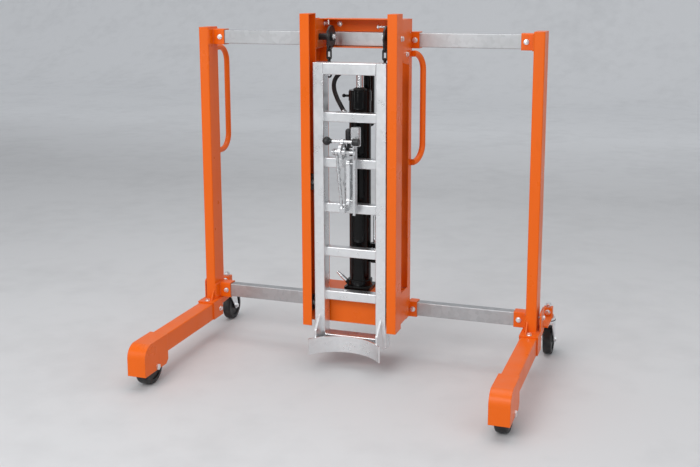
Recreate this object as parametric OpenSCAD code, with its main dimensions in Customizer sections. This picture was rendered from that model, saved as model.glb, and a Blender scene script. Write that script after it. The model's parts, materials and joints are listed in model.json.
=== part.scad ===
// Drum lifter: a wide wheeled frame that carries a mast, a hydraulic ram and a
// ladder carriage with a rim clamp above and a curved saddle below.
// Millimetres, +Z up, +X to the right, -Y towards the drum. The origin is on the
// floor, in the middle of the footprint.

/* [Chassis] */
// Distance between the centre lines of the two legs
leg_spacing = 1400; // [1300:10:1600]
// Width of a leg's tube
leg_w = 65; // [58:1:74]
// Height of a leg's tube
leg_h = 74; // [66:1:84]
// Height of a leg's top face above the floor
leg_top = 173; // [168:1:190]
// Height of the posts' tops above the floor
post_top = 1359; // [1355:1:1460]
// Width of a post's tube
post_w = 43; // [36:1:50]
// Depth of a post's tube
post_d = 92; // [90:1:110]
// Wall of the painted tubes
tube_wall = 4; // [3:0.5:6]
// Edge rounding of the tubes
tube_round = 5; // [2:0.5:8]
// Length of a leg's tube behind the posts' front face
leg_tail = 40; // [30:1:60]
// Height of a cross bar
bar_h = 56; // [44:1:60]
// Depth of a cross bar
bar_d = 40; // [30:1:44]
// Wall of a cross bar
bar_wall = 3; // [2:0.5:5]
// Distance from the posts' front face back to the bars' front face
bar_setback = 45; // [44:1:48]
// Distance from the posts' tops down to the top bar's underside
top_bar_drop = 69; // [66:1:74]
// Gap between the feet and the bottom bar's underside
bottom_bar_gap = 5; // [2:1:20]
// Length of the sockets that hold the bars' ends
socket_len = 49; // [40:1:70]
// Wall of the sockets and of the clamp straps
socket_wall = 4; // [3:0.5:6]

/* [Wheel hoods] */
// Distance from the posts' front face to the hoods' front
hood_reach = 639; // [560:1:760]
// Length of a leg's front end that lies in its hood
hood_lap = 12; // [8:1:40]
// Gap between a leg's side and the side of its hood
hood_gap = 2; // [1:0.5:8]
// Sheet of a hood
hood_wall = 4; // [3:0.5:5]
// Height of a hood's lower edge above the floor
hood_clear = 58; // [48:1:62]
// Radius of a hood's front top edge
hood_round = 52; // [30:1:60]

/* [Wheels] */
// Diameter of the front wheels
front_wheel_d = 140; // [128:1:144]
// Width of the front wheels
front_wheel_w = 50; // [36:1:56]
// Distance from a hood's front to its wheel's axle
front_axle_setback = 94; // [90:1:98]
// Radius of the front axles
front_axle_r = 8; // [6:0.5:10]
// Diameter of the castor wheels
castor_d = 125; // [110:1:128]
// Width of the castor wheels
castor_w = 36; // [28:1:44]
// Distance from a leg's centre line out to its castor's swivel axis
castor_out = 35; // [25:1:45]
// Distance from the posts' front face back to the castors' swivel axes
castor_setback = 238; // [200:1:280]
// Trail of the castor wheels behind their swivel axes
castor_trail = 40; // [30:1:46]
// Radius of the castor stems
castor_stem_r = 8; // [6:0.5:10]

/* [Mast] */
// Gap between the carriage and a mast channel
mast_gap = 7; // [5:1:12]
// Height of the mast's top above the posts' tops
mast_rise = 66; // [60:1:120]
// Height of the mast's lower end above the floor
mast_bottom = 173; // [165:1:180]
// Distance from the posts' front face forward to the mast's front face
mast_reach = 178; // [176:1:200]
// Width of a mast channel's flanges
channel_w = 38; // [34:1:42]
// Depth of a mast channel
channel_d = 75; // [70:1:84]
// Sheet of the mast
mast_wall = 4; // [3:0.5:5]
// Depth of a side plate behind its channel
plate_d = 134; // [130:1:136]
// Distance from the mast's top down to the side plates' tops
plate_drop = 23; // [16:1:24]
// Height of the side plates' lower edges above the floor
plate_bottom = 192; // [188:1:200]
// Width of the strip that runs up the rear of a side plate
strip_w = 40; // [30:1:60]
// Height of a side plate's window sill above the floor
window_sill = 320; // [312:1:340]
// Distance from a side plate's top down to its window's front corner
window_drop = 140; // [124:1:160]
// Radius of the side plate's round corner above its window
window_round = 24; // [16:1:32]
// Width of the side plates' inward rear flange
rear_flange_w = 40; // [30:1:44]
// Height of the head channel
head_h = 115; // [112:1:116]
// Distance from the posts' front face to the head channel's open front
head_open = 10; // [8:1:14]
// Height of the base channel's top face above the floor
base_top = 305; // [296:1:308]
// Gap between the mast channels' rear and the base channel's front
base_gap = 8; // [5:1:12]

/* [Carriage] */
// Outer width of the ladder carriage
carriage_w = 302; // [290:1:308]
// Height of the carriage's lower end above the floor
carriage_bottom = 100; // [90:1:105]
// Height of the carriage's top above the floor
carriage_top = 1238; // [1225:1:1260]
// Width of a stile
stile_w = 44; // [38:1:50]
// Depth of a stile and of the two rails
stile_d = 60; // [56:1:64]
// Distance of the carriage's front behind the mast's front
carriage_inset = 15; // [12:1:18]
// Wall of the zinc tubes
zinc_wall = 3; // [2:0.5:4]
// Height of the top rail
top_rail_h = 46; // [40:1:52]
// Height of the bottom rail
bottom_rail_h = 40; // [36:1:44]
// Height of a rung
rung_h = 38; // [32:1:42]
// Depth of a rung
rung_d = 40; // [34:1:44]
// Height of the top rung's upper face above the floor
rung_top = 1043; // [1035:1:1050]
// Distance between rungs
rung_pitch = 181.5; // [178:0.5:184]
// Radius of the drum saddle's hollow face
saddle_r = 180; // [170:1:290]
// Half width of the drum saddle
saddle_half_w = 148; // [135:1:155]
// Height of the drum saddle
saddle_h = 66; // [50:1:80]
// Height of the saddle's lower edge above the floor
saddle_z = 72; // [62:1:80]
// Plate of the drum saddle
saddle_wall = 6; // [4:0.5:10]
// Width of a guide roller
roller_w = 26; // [20:1:27]
// Heights of the lower and upper guide rollers above the floor
roller_z = [260, 760];
// Radius of the guide roller axles
roller_axle_r = 10; // [7:0.5:12]

/* [Hydraulics] */
// Outer radius of the ram's barrel
ram_r = 44; // [40:1:47]
// Distance of the ram's axis in front of the posts' front face
ram_reach = 29; // [28:1:32]
// Bare length of the piston rod between the barrel and the lift bracket
rod_bare = 77; // [60:1:90]
// Radius of the piston rod
rod_r = 15.5; // [12:0.5:18]
// Radius of the piston
piston_r = 30; // [26:0.5:33]
// Lift of the carriage
lift = 600; // [500:10:600]
// Radius of the oil tank
tank_r = 27; // [22:0.5:28]
// Radius of the oil hose
hose_r = 9.5; // [7:0.5:10]
// Radius of the pump plunger
plunger_r = 6; // [4:0.5:8]

/* [Rim clamp] */
// Width of the clamp's channel
clamp_w = 52; // [48:1:60]
// Depth of the clamp's channel
clamp_d = 44; // [40:1:50]
// Sheet of the clamp's channel
clamp_wall = 4; // [3:0.5:5]
// Radius of the beak's pivot pin
hub_r = 8; // [6:0.5:9]
// Radius of the beak's outer curve
beak_r = 42; // [36:1:46]
// Thickness of the beak
beak_w = 12; // [9:0.5:14]
// Radius of the knob on the cross bar
knob_r = 17; // [12:0.5:20]

/* [Handles] */
// Radius of a push handle's tube
handle_r = 12; // [9:0.5:13]
// Distance from the posts' tops down to the push handles' upper ends
handle_sink = 91; // [84:1:100]
// Drop from a push handle's upper end to its lower end
handle_drop = 448; // [400:1:460]
// Bend radius of a push handle
handle_bend = 68; // [40:1:70]

/* [Fits] */
// Radial clearance of running fits
run_fit = 0.05; // [0.03:0.01:0.08]
// Clearance of loose fits and of bolts in their holes
loose_fit = 0.3; // [0.2:0.05:0.4]

/* [Hidden] */
$fn = 64;

orange = "#e8601c";
zinc = "#c9ccce";
gloss_black = "#17181a";
rubber = "#1d1d1f";
chrome = "#e3e6e8";

// The footprint runs from the hoods' front to the castors' rear, and its middle is the origin.
castor_reach = castor_setback + castor_trail + castor_d / 2;
post_y = (hood_reach - castor_reach) / 2;
leg_x = leg_spacing / 2;

// Chassis
top_bar_z = post_top - top_bar_drop;
leg_bottom = leg_top - leg_h;
saddle_sheet = 5;
foot_plate = 6;
foot_top = leg_top + foot_plate;
bottom_bar_z = foot_top + bottom_bar_gap;
foot_front = 50;
foot_side_front = 46;
foot_shelf = 22;
foot_rear = 105;
foot_x = leg_w / 2 + saddle_sheet;
ear_top = foot_top + 80;
ear_front = 20;
ear_round = 14;
gusset_h = 44;
gusset_l = 28;
gusset_t = 6;
bar_y = post_y + bar_setback;
post_inner_x = leg_x - post_w / 2;
socket_flange = 5;
socket_end_x = post_inner_x - socket_flange;
bar_end_gap = 2;
bar_len = 2 * (socket_end_x - bar_end_gap);
lug_half_w = 20;
castor_x = leg_x + castor_out;
castor_y = post_y + castor_setback;
castor_block = 36;
castor_block_h = 36;

// Hoods and front wheels
hood_y = post_y - hood_reach;
hood_w = leg_w + 2 * (hood_gap + hood_wall);
hood_top = leg_top + hood_wall;
hood_chamfer = 16;
front_axle_y = hood_y + front_axle_setback;
front_axle_z = front_wheel_d / 2;
front_axle_head = 6;
leg_gap = 3;
leg_front = front_axle_y + front_wheel_d / 2 + leg_gap;
hood_rear = leg_front + hood_lap;
hood_len = hood_rear - hood_y;

// Castors
castor_head_r = 30;
castor_head_h = 22;
castor_cheek = 4;
castor_side_gap = 4;
castor_axle_r = 6;
castor_axle_y = castor_y + castor_trail;
castor_stem_top = foot_top + castor_block_h + 17;

// Mast
mast_y = post_y - mast_reach;
mast_x = carriage_w / 2 + mast_gap + channel_w;
mast_top = post_top + mast_rise;
plate_top = mast_top - plate_drop;
window_head = plate_top - window_drop;
plate_y = mast_y + channel_d;
plate_rear = plate_y + plate_d;
plate_x = mast_x - mast_wall;
window_slope = 10;
notch_depth = 28;
head_top = plate_top - 2;
head_bottom = head_top - head_h;
head_rear = bar_y + bar_d + mast_wall;
head_tail_x = plate_x - 20;
base_front = plate_y + base_gap;
bracket_reach = 27;
bracket_tab = 55;
bracket_t = 5;
head_end_t = 4;
head_end_y = plate_y + 20;
head_end_round = 12;
lug_y = head_end_y + 8;
lug_len = 84;
lug_h = 70;
chain_axle_r = 10;
chain_axle_y = plate_y + 58;
chain_axle_z = head_bottom + 46;
chain_sleeve_r = 13;
chain_cap_t = 5;
hanger_r = 45;
hanger_eye_r = 16;
hanger_eye_drop = 48;
hanger_lean = 30;
hanger_eye_hole = 9;
hanger_t = 7;
hanger_x = plate_x - 76.5;
chain_end_x = hanger_x - hanger_t / 2 - 1 - chain_cap_t;
link_wire = 3.5;
link_half = 13;
link_bend = 8.2;
link_count = 3;

// Carriage
carriage_x = carriage_w / 2;
stile_in = carriage_x - stile_w;
carriage_y = mast_y + carriage_inset;
carriage_rear = carriage_y + stile_d;
rung_y = carriage_rear - rung_d;
zinc_round = 4;
fin_t = 8;
fin_h = 90;
fin_x = carriage_x - stile_w / 2;
saddle_y = carriage_y - saddle_wall - saddle_r;
roller_gap = channel_d - 2 * mast_wall;
roller_r = roller_gap / 2 - loose_fit;
roller_y = mast_y + channel_d / 2;
roller_side_gap = 4;
roller_out = plate_x - roller_side_gap;

// Ram, tank, hose and pump
ram_y = post_y - ram_reach;
ram_base = 110;
ram_base_t = 14;
ram_base_round = 12;
ram_collar_r = ram_r + 6;
ram_collar_h = 26;
ram_floor = 30;
ram_gland_h = 43;
ram_cap_r = ram_r + 2;
rod_top = carriage_top - 38;
ram_top = rod_top - rod_bare;
rod_stud_r = 9;
piston_t = 30;
piston_slack = 10;
piston_z = ram_top - ram_gland_h - lift - piston_t - piston_slack;
lift_plate_t = 12;
lift_plate_half_w = 45;
lift_plate_rear = ram_y + 29;
lift_rib_t = 6;
tank_x = 8;
tank_y = ram_y + 77;
tank_drop = 157;
tank_rise = 91;
tank_z = ram_top - tank_drop;
tank_top = ram_top + tank_rise;
tank_round = 14;
tank_port_z = tank_top - 22;
tank_strap_drop = [133, 82];
tank_strap_z = ram_top * [1, 1] - tank_strap_drop;
tank_strap_h = 36;
tank_strap_w = 14;
port_r = 12.5;
port_len = 14;
// Route of the oil hose: X, distance behind the ram's axis, height above the barrel's top
hose_start = [-55, 0, -103];
hose_tilt = 45;
hose_lead = 8;
hose_route = [[-70, 2, -87], [-84, 8, -68], [-105, 20, -38], [-122, 34, -3],
              [-124, 48, 29], [-108, 62, 55], [-80, 73, 67], [-50, 77, 69]];
hose_steps = 3;
hose_sides = 10;
pump_x = ram_r + 18;
pump_r = 17;
pump_rise = [115, 195];
pump_z = base_top * [1, 1] + pump_rise;
pump_foot = 30;
pump_arm_y = ram_y + 37;
pump_arm_z = pump_z[1] + 106;
pump_arm_half_w = 8;
pump_arm_t = 7;
pump_pin_r = 5;
plunger_pin_r = 4;
rocker_t = 8;
rocker_gap = 2;
rocker_x = pump_x + plunger_r + rocker_gap;
rocker_slot = 3;
rocker_socket_r = 13;
rocker_socket_len = 90;
rocker_socket_tilt = 40;
valve_start = [-52, -21, base_top + 33];
valve_tilt = 50;
valve_r = 8;
valve_pin_r = 4;
valve_boss = 26;
valve_grip = 28;
valve_tip = 24;

// Rim clamp
clamp_y = rung_y - clamp_d;
clamp_top = rung_top - 125;
clamp_bottom = rung_top - rung_h - 2 * rung_pitch + 3;
clamp_half = clamp_w / 2;
clamp_web_drop = 44;
clamp_lip = 6;
clamp_cut = 28;
boss_x = -12;
boss_z = clamp_bottom + 120;
boss_r = 17;
boss_t = 8;
hub_y = clamp_y + 9;
hub_z = clamp_top - 25;
hub_left = -66;
hub_nut_r = 14;
beak_x = clamp_wall + 1 - clamp_half;
beak_offset = 26;
cross_r = 6.5;
cross_y = hub_y - 20;
cross_z = hub_z + 45;
cross_left = -63;
cross_right = 25;
lever_x = beak_x + beak_w + 0.5;
lever_t = 10;
lever_y = rung_y - 17;
lever_z = clamp_top - 13;
lever_pin_r = 5;
lever_half = 8;
lever_len = 38;
grip_r = 12.5;
grip_len = 46;
head_block = [36, 28, 74];
head_block_round = 6;
head_block_x = lever_x + lever_t / 2 + grip_r + 1 + head_block.x / 2;
head_block_y = rung_y - 24;
cap_r = 15;
cap_len = 28;
cap_edge = 3;
link_x = -46;
link_r = 6;
link_collar = 10;
link_swell = 4;
link_foot_z = clamp_bottom + 18;
jaw_x = -10;
jaw_w = 14;
jaw_t = 8;
jaw_y = clamp_y + 16;
jaw_pin_r = 4;
jaw_pin_rise = [55, 203];
jaw_pins = clamp_bottom * [1, 1] + jaw_pin_rise;
jaw_end = 8;

// Push handles: the left one behind its post, the right one on pads on the mast's side plate
handle_top = post_top - handle_sink;
handle_reach = 125;
handle_flange_rim = 6;
handle_flange_t = 5;
handle_pad = 4;
handle_pad_len = 10;
handle_stub = 5;
mast_handle_y = plate_rear - strip_w + 6;
mast_handle_reach = 72;
mast_handle_drop = 431;
mast_handle_turn = 17;

// Fasteners: place of the seat under the washer, direction of the head, shank length
bolt_r = 5;
bolt_hex = 9;
bolt_head = 7;
washer_r = 11;
washer_t = 2;
socket_bolt_x = socket_end_x - socket_len + 20;
top_bar_mid = top_bar_z + bar_h / 2;
bottom_bar_mid = bottom_bar_z + bar_h / 2;
bracket_bolt_x = (plate_x - bracket_t + mast_x + bracket_reach) / 2;
bar_face = bar_y - socket_wall - loose_fit;
BOLTS = [
    for (s = [-1, 1], z = [top_bar_mid, bottom_bar_mid]) each [
        [[s * socket_bolt_x, bar_face, z], [0, -1, 0], 16],
        [[s * bracket_bolt_x, bar_face, z], [0, -1, 0], 16]],
    for (s = [-1, 1]) each [
        [[s * mast_x, plate_y - 14, chain_axle_z], [s, 0, 0], mast_wall],
        [[s * mast_x, mast_handle_y - 40, handle_top], [s, 0, 0], mast_wall],
        [[s * (head_tail_x - head_end_t), bar_y - 20, head_top - 20], [-s, 0, 0], head_end_t],
        [[s * 125, head_rear - mast_wall, head_top - 24], [0, -1, 0], mast_wall],
        [[s * chain_end_x, chain_axle_y, chain_axle_z], [-s, 0, 0], 14],
        [[s * leg_x, post_y - 32, foot_top], [0, 0, 1], 18],
        [[s * (leg_x - foot_x), post_y + 13, leg_bottom + 36], [-s, 0, 0], 16],
        [[s * (leg_x + foot_x), post_y + 62, foot_top + 45], [s, 0, 0], 22],
        [[s * castor_x, castor_y - castor_block / 2, foot_top + castor_block_h / 2], [0, -1, 0], 8]]];

// Rounded rectangle about the origin
module rounded_rect(w, h, r) {
    square([w, h - 2 * r], center = true);
    square([w - 2 * r, h], center = true);
    for (x = [-1, 1], y = [-1, 1])
        translate([x * (w / 2 - r), y * (h / 2 - r)]) circle(r);
}

// Section of a rectangular tube about the origin
module tube_section(w, h, wall, r) {
    difference() {
        rounded_rect(w, h, r);
        rounded_rect(w - 2 * wall, h - 2 * wall, max(r - wall, 0.5));
    }
}

// Block between two corners
module block(low, high) {
    translate(low) cube(high - low);
}

// Plate of thickness t from x0 to the right, drawn in Y and Z
module yz_plate(x0, t) {
    translate([x0, 0, 0]) rotate([90, 0, 90]) linear_extrude(t) children();
}

// Plate of thickness t from y0 to the rear, drawn in X and Z
module xz_plate(y0, t) {
    translate([0, y0 + t, 0]) rotate([90, 0, 0]) linear_extrude(t) children();
}

// Cylinder along X from x0
module rod_x(x0, y, z, r, len) {
    translate([x0, y, z]) rotate([0, 90, 0]) cylinder(r = r, h = len);
}

// Right-hand shape, or its mirror image on the left
module on_side(s) {
    mirror([s < 0 ? 1 : 0, 0, 0]) children();
}

// Outline of two discs, one below the other, with straight flanks that start just inside the discs
module tear(big, small, drop) {
    t = acos((big - small) / drop);
    flank = 0.97;
    b = flank * big * [sin(t), -cos(t)];
    s = flank * small * [sin(t), -cos(t)] - [0, drop];
    circle(big);
    translate([0, -drop]) circle(small);
    polygon([b, s, [-s.x, s.y], [-b.x, b.y]]);
}

// Turns +Z to the direction d, which lies along one axis
module facing(d) {
    rotate(d.z != 0 ? [0, 0, 0] : d.x != 0 ? [0, 90 * d.x, 0] : [-90 * d.y, 0, 0]) children();
}

// Holes for every frame bolt
module bolt_holes() {
    for (b = BOLTS)
        translate(b[0]) facing(b[1])
            translate([0, 0, -b[2] - 1]) cylinder(r = bolt_r + loose_fit, h = b[2] + 2);
}

module frame_bolts() {
    color(zinc)
        for (b = BOLTS)
            translate(b[0]) facing(b[1]) {
                translate([0, 0, -b[2]]) cylinder(r = bolt_r, h = b[2] + washer_t);
                cylinder(r = washer_r, h = washer_t);
                translate([0, 0, washer_t]) cylinder(r = bolt_hex, h = bolt_head, $fn = 6);
            }
}

// Socket on a post's inner face, round the end of a bar
module bar_socket(z0) {
    w = bar_d + 2 * (socket_wall + loose_fit);
    h = bar_h + 2 * (socket_wall + loose_fit);
    block([socket_end_x, post_y + 2, z0 - socket_wall], [post_inner_x, post_y + post_d - 2, z0 + bar_h + socket_wall]);
    translate([socket_end_x - socket_len, bar_y + bar_d / 2, z0 + bar_h / 2])
        rotate([90, 0, 90]) linear_extrude(socket_len) tube_section(w, h, socket_wall, socket_wall);
}

// Side of the foot that straddles the leg's rear end
module foot_side() {
    polygon([[post_y - foot_side_front, leg_bottom + 2], [post_y + leg_tail, leg_bottom + 2],
             [post_y + leg_tail, leg_top - foot_shelf], [post_y + foot_rear, leg_top - foot_shelf + 5],
             [post_y + foot_rear, foot_top], [post_y - foot_side_front, foot_top]]);
}

// Ear that rises from the foot's outer side, with a round rear corner
module foot_ear() {
    polygon([[post_y + ear_front, foot_top - 1], [post_y + foot_rear, foot_top - 1],
             [post_y + foot_rear, ear_top - ear_round], [post_y + foot_rear - ear_round, ear_top],
             [post_y + ear_front + ear_round, ear_top], [post_y + ear_front, ear_top - ear_round]]);
    for (y = [post_y + foot_rear - ear_round, post_y + ear_front + ear_round])
        translate([y, ear_top - ear_round]) circle(ear_round);
}

// Post with its foot, castor lug and bar sockets, for the right-hand side
module upright() {
    difference() {
        union() {
            translate([leg_x, post_y + post_d / 2, foot_top]) {
                linear_extrude(post_top - foot_top) tube_section(post_w, post_d, tube_wall, tube_round);
                translate([0, 0, post_top - foot_top - tube_wall])
                    linear_extrude(tube_wall) rounded_rect(post_w, post_d, tube_round);
            }
            for (z = [top_bar_z, bottom_bar_z]) bar_socket(z);
            block([leg_x - foot_x, post_y - foot_front, leg_top], [leg_x + foot_x, post_y + foot_rear, foot_top]);
            for (x = [leg_x - foot_x, leg_x + leg_w / 2]) yz_plate(x, saddle_sheet) foot_side();
            yz_plate(leg_x + leg_w / 2, saddle_sheet) foot_ear();
            yz_plate(leg_x - post_w / 2 + 4, gusset_t)
                polygon([[post_y + 1, foot_top - 1], [post_y - gusset_l, foot_top - 1], [post_y + 1, foot_top + gusset_h]]);
            block([leg_x, post_y + post_d, leg_top], [castor_x + lug_half_w, castor_y + lug_half_w, foot_top]);
            translate([castor_x, castor_y, foot_top])
                linear_extrude(castor_block_h) rounded_rect(castor_block, castor_block, tube_round);
        }
        translate([castor_x, castor_y, 0]) cylinder(r = castor_stem_r + run_fit, h = post_top);
        bolt_holes();
    }
}

module upright_left() { color(orange) on_side(-1) upright(); }
module upright_right() { color(orange) on_side(1) upright(); }

// Leg tube, closed at its rear end, for the right-hand side
module leg() {
    difference() {
        translate([leg_x, post_y + leg_tail, leg_bottom + leg_h / 2]) rotate([90, 0, 0]) {
            linear_extrude(post_y + leg_tail - leg_front) tube_section(leg_w, leg_h, tube_wall, tube_round);
            linear_extrude(tube_wall) rounded_rect(leg_w, leg_h, tube_round);
        }
        bolt_holes();
    }
}

module leg_left() { color(orange) on_side(-1) leg(); }
module leg_right() { color(orange) on_side(1) leg(); }

// Side outline of a hood, drawn in Y and Z and moved in by d
module hood_outline(d) {
    front = hood_y + d;
    top = hood_top - d;
    r = hood_round - d;
    polygon([[front, hood_clear], [hood_rear - hood_chamfer, hood_clear], [hood_rear, hood_clear + hood_chamfer],
             [hood_rear, top], [front + r, top], [front, top - r]]);
    translate([front + r, top - r]) circle(r);
}

// Hood folded over a front wheel, open below and at the leg, for the right-hand side
module wheel_hood() {
    difference() {
        yz_plate(leg_x - hood_w / 2, hood_w) hood_outline(0);
        yz_plate(leg_x - hood_w / 2 + hood_wall, hood_w - 2 * hood_wall) union() {
            hood_outline(hood_wall);
            translate([hood_y + hood_wall, 0]) square([hood_len, hood_clear + 1]);
            translate([hood_rear - hood_chamfer - 1, 0]) square([hood_chamfer + 2, hood_top - hood_wall]);
        }
        rod_x(leg_x - hood_w, front_axle_y, front_axle_z, front_axle_r + loose_fit, 2 * hood_w);
    }
}

module wheel_hood_left() { color(orange) on_side(-1) wheel_hood(); }
module wheel_hood_right() { color(orange) on_side(1) wheel_hood(); }

module front_axles() {
    color(zinc)
        for (s = [-1, 1]) translate([s * leg_x, front_axle_y, front_axle_z]) rotate([0, 90, 0]) {
            cylinder(r = front_axle_r, h = hood_w, center = true);
            for (e = [-1, 1]) translate([0, 0, e * (hood_w + front_axle_head) / 2])
                cylinder(r = front_axle_r + 5, h = front_axle_head, center = true, $fn = 6);
        }
}

// Galvanised bar across the frame
module cross_bar(z0) {
    difference() {
        translate([-bar_len / 2, bar_y + bar_d / 2, z0 + bar_h / 2])
            rotate([90, 0, 90]) linear_extrude(bar_len) tube_section(bar_d, bar_h, bar_wall, bar_wall);
        bolt_holes();
    }
}

module top_bar() { color(zinc) cross_bar(top_bar_z); }
module bottom_bar() { color(zinc) cross_bar(bottom_bar_z); }

// Mast channel that opens to the middle, for the right-hand side
module mast_channel() {
    difference() {
        union() {
            difference() {
                block([mast_x - channel_w, mast_y, mast_bottom], [mast_x, mast_y + channel_d, mast_top]);
                block([mast_x - channel_w - 1, mast_y + mast_wall, mast_bottom - 1],
                      [plate_x, mast_y + channel_d - mast_wall, mast_top - mast_wall]);
            }
        }
        bolt_holes();
    }
}

module mast_channel_left() { color(orange) on_side(-1) mast_channel(); }
module mast_channel_right() { color(orange) on_side(1) mast_channel(); }

// Side plate with its window, rear flange and notches for the straps, for the right-hand side
module side_plate() {
    strip_y = plate_rear - strip_w;
    low = [plate_y + window_round * (1 - sin(window_slope)), window_head - window_round * cos(window_slope)];
    difference() {
        union() {
            yz_plate(plate_x, mast_wall) difference() {
                translate([plate_y, plate_bottom]) square([plate_d, plate_top - plate_bottom]);
                difference() {
                    polygon([[plate_y - 1, window_sill], [strip_y, window_sill],
                             [strip_y, low.y - (strip_y - low.x) * tan(window_slope)], low,
                             [plate_y + window_round, window_head], [plate_y - 1, window_head]]);
                    translate([plate_y + window_round, window_head]) circle(window_round);
                }
                for (z = [top_bar_z, bottom_bar_z])
                    translate([plate_rear - notch_depth, z - 0.5]) square([notch_depth + 1, bar_h + socket_wall + 2]);
            }
            block([mast_x - rear_flange_w, plate_rear - mast_wall, base_top + 1],
                  [plate_x + 1, plate_rear, head_bottom - 1]);
        }
        bolt_holes();
    }
}

module side_plate_left() { color(orange) on_side(-1) side_plate(); }
module side_plate_right() {
    color(orange) {
        side_plate();
        for (z = [handle_top, handle_top - mast_handle_drop])
            translate([mast_x + handle_pad + handle_r, mast_handle_y, z]) handle_seat();
    }
}

// Block with a round seat for an end of the right handle
module handle_seat() {
    difference() {
        block([-handle_pad - handle_r - 1, -handle_stub, -handle_r], [0, handle_pad_len - handle_stub, handle_r]);
        rotate([0, 0, -mast_handle_turn]) rotate([-90, 0, 0])
            translate([0, 0, -handle_pad_len]) cylinder(r = handle_r + loose_fit, h = 3 * handle_pad_len);
    }
}

// Channel that ties the mast's head together and opens to the front round the top bar
module head_channel() {
    front = post_y + head_open;
    color(orange) difference() {
        union() {
            head_sheets(front);
            for (s = [-1, 1]) on_side(s) head_end();
        }
        bolt_holes();
        block([-plate_x, bar_y - 1, top_bar_z - 1], [plate_x, head_rear - mast_wall, top_bar_z + bar_h + 1]);
    }
}

// End plate of the head channel with the lug that carries a chain axle, for the right-hand side
module head_end() {
    inner = head_tail_x - head_end_t;
    mid = [(head_end_y + bar_y) / 2, (head_bottom + head_top) / 2];
    yz_plate(inner, head_end_t) {
        translate(mid) rounded_rect(bar_y - head_end_y, head_h, head_end_round);
        translate([bar_y - 2 * head_end_round, head_bottom])
            square([head_rear - bar_y + 2 * head_end_round, head_h]);
    }
    yz_plate(inner - head_end_t, head_end_t + 1) translate([lug_y + lug_len / 2, head_bottom + mast_wall + lug_h / 2])
        rounded_rect(lug_len, lug_h, head_end_round);
}

// Flanges and web of the head channel
module head_sheets(front) {
    union() {
        for (z = [head_bottom, head_top - mast_wall])
            translate([0, 0, z]) linear_extrude(mast_wall)
                polygon([[-plate_x, front], [plate_x, front], [plate_x, plate_rear], [head_tail_x, plate_rear],
                         [head_tail_x, head_rear], [-head_tail_x, head_rear], [-head_tail_x, plate_rear],
                         [-plate_x, plate_rear]]);
        block([-head_tail_x, head_rear - mast_wall, head_bottom], [head_tail_x, head_rear, head_top]);
    }
}

// Black axle with its sleeve and end cap on each lug of the head channel
module chain_axles() {
    lug_face = head_tail_x - 2 * head_end_t;
    sleeve_x = hanger_x + hanger_t / 2 + 1;
    color(gloss_black) difference() {
        for (s = [-1, 1]) on_side(s) {
            rod_x(chain_end_x, chain_axle_y, chain_axle_z, chain_axle_r, lug_face - chain_end_x);
            rod_x(chain_end_x, chain_axle_y, chain_axle_z, chain_axle_r + 6, chain_cap_t);
            rod_x(sleeve_x, chain_axle_y, chain_axle_z, chain_sleeve_r, lug_face - sleeve_x);
        }
        bolt_holes();
    }
}

// Folded channel between the side plates, on which the ram stands
module base_channel() {
    color(orange) {
        block([-plate_x, base_front, base_top - mast_wall], [plate_x, bar_y, base_top]);
        block([-plate_x, base_front, mast_bottom], [plate_x, base_front + mast_wall, base_top]);
        block([bracket_t + 1 - plate_x, bar_y - mast_wall, bottom_bar_z],
              [plate_x - bracket_t - 1, bar_y, base_top]);
    }
}

// Strap that clamps the mast to a bar, for the right-hand side
module bracket(z0) {
    lip = socket_wall + loose_fit;
    x0 = plate_x - bracket_t;
    x1 = mast_x + bracket_reach;
    difference() {
        union() {
            block([x0, bar_y - bracket_tab, z0], [plate_x, bar_face + socket_wall, z0 + bar_h]);
            block([x0, bar_face, z0 - lip], [x1, bar_face + socket_wall, z0 + bar_h + lip]);
            for (z = [z0 - lip, z0 + bar_h + loose_fit])
                block([x0, bar_face, z], [x1, bar_y + bar_d, z + socket_wall]);
        }
        bolt_holes();
    }
}

module bracket_top_left() { color(orange) on_side(-1) bracket(top_bar_z); }
module bracket_top_right() { color(orange) on_side(1) bracket(top_bar_z); }
module bracket_bottom_left() { color(orange) on_side(-1) bracket(bottom_bar_z); }
module bracket_bottom_right() { color(orange) on_side(1) bracket(bottom_bar_z); }

// Quarter bend of a handle's tube in the Y and Z plane, from +Y down to -Z
module bend(r) {
    translate([0, 0, -handle_bend]) rotate([90, 0, 90])
        rotate_extrude(angle = 90) translate([handle_bend, 0]) circle(r);
}

// Handle loop: back from the upper end, down, and forward to the lower end
module handle_loop(reach, drop, r) {
    rotate([-90, 0, 0]) cylinder(r = r, h = reach - handle_bend);
    translate([0, reach - handle_bend, 0]) bend(r);
    translate([0, reach, handle_bend - drop]) cylinder(r = r, h = drop - 2 * handle_bend);
    translate([0, reach - handle_bend, -drop]) mirror([0, 0, 1]) bend(r);
    translate([0, 0, -drop]) rotate([-90, 0, 0]) cylinder(r = r, h = reach - handle_bend);
}

// Middle line of a handle loop that a swept tube follows
function loop_path(reach, drop) =
    let (bend = min(handle_bend, reach - 2))
    let (upper = concat([[0, 0, 0]], [for (k = [0:10]) [0, reach + bend * (sin(9 * k) - 1), bend * (cos(9 * k) - 1)]]))
    concat(upper, [for (i = [len(upper) - 1:-1:0]) [0, upper[i].y, -drop - upper[i].z]]);

// Handle behind the left post, on two round flanges
module push_handle_left() {
    color(orange) translate([-leg_x, post_y + post_d, handle_top]) {
        handle_loop(handle_reach, handle_drop, handle_r);
        for (z = [0, -handle_drop]) translate([0, 0, z]) rotate([-90, 0, 0])
            cylinder(r = handle_r + handle_flange_rim, h = handle_flange_t);
    }
}

// Handle on the pads of the mast's right side plate, turned a little outward
module push_handle_right() {
    color(orange) translate([mast_x + handle_pad + handle_r, mast_handle_y, handle_top])
        rotate([0, 0, -mast_handle_turn]) swept_tube(loop_path(mast_handle_reach, mast_handle_drop), handle_r, 24, [1, 0, 0]);
}

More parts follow.
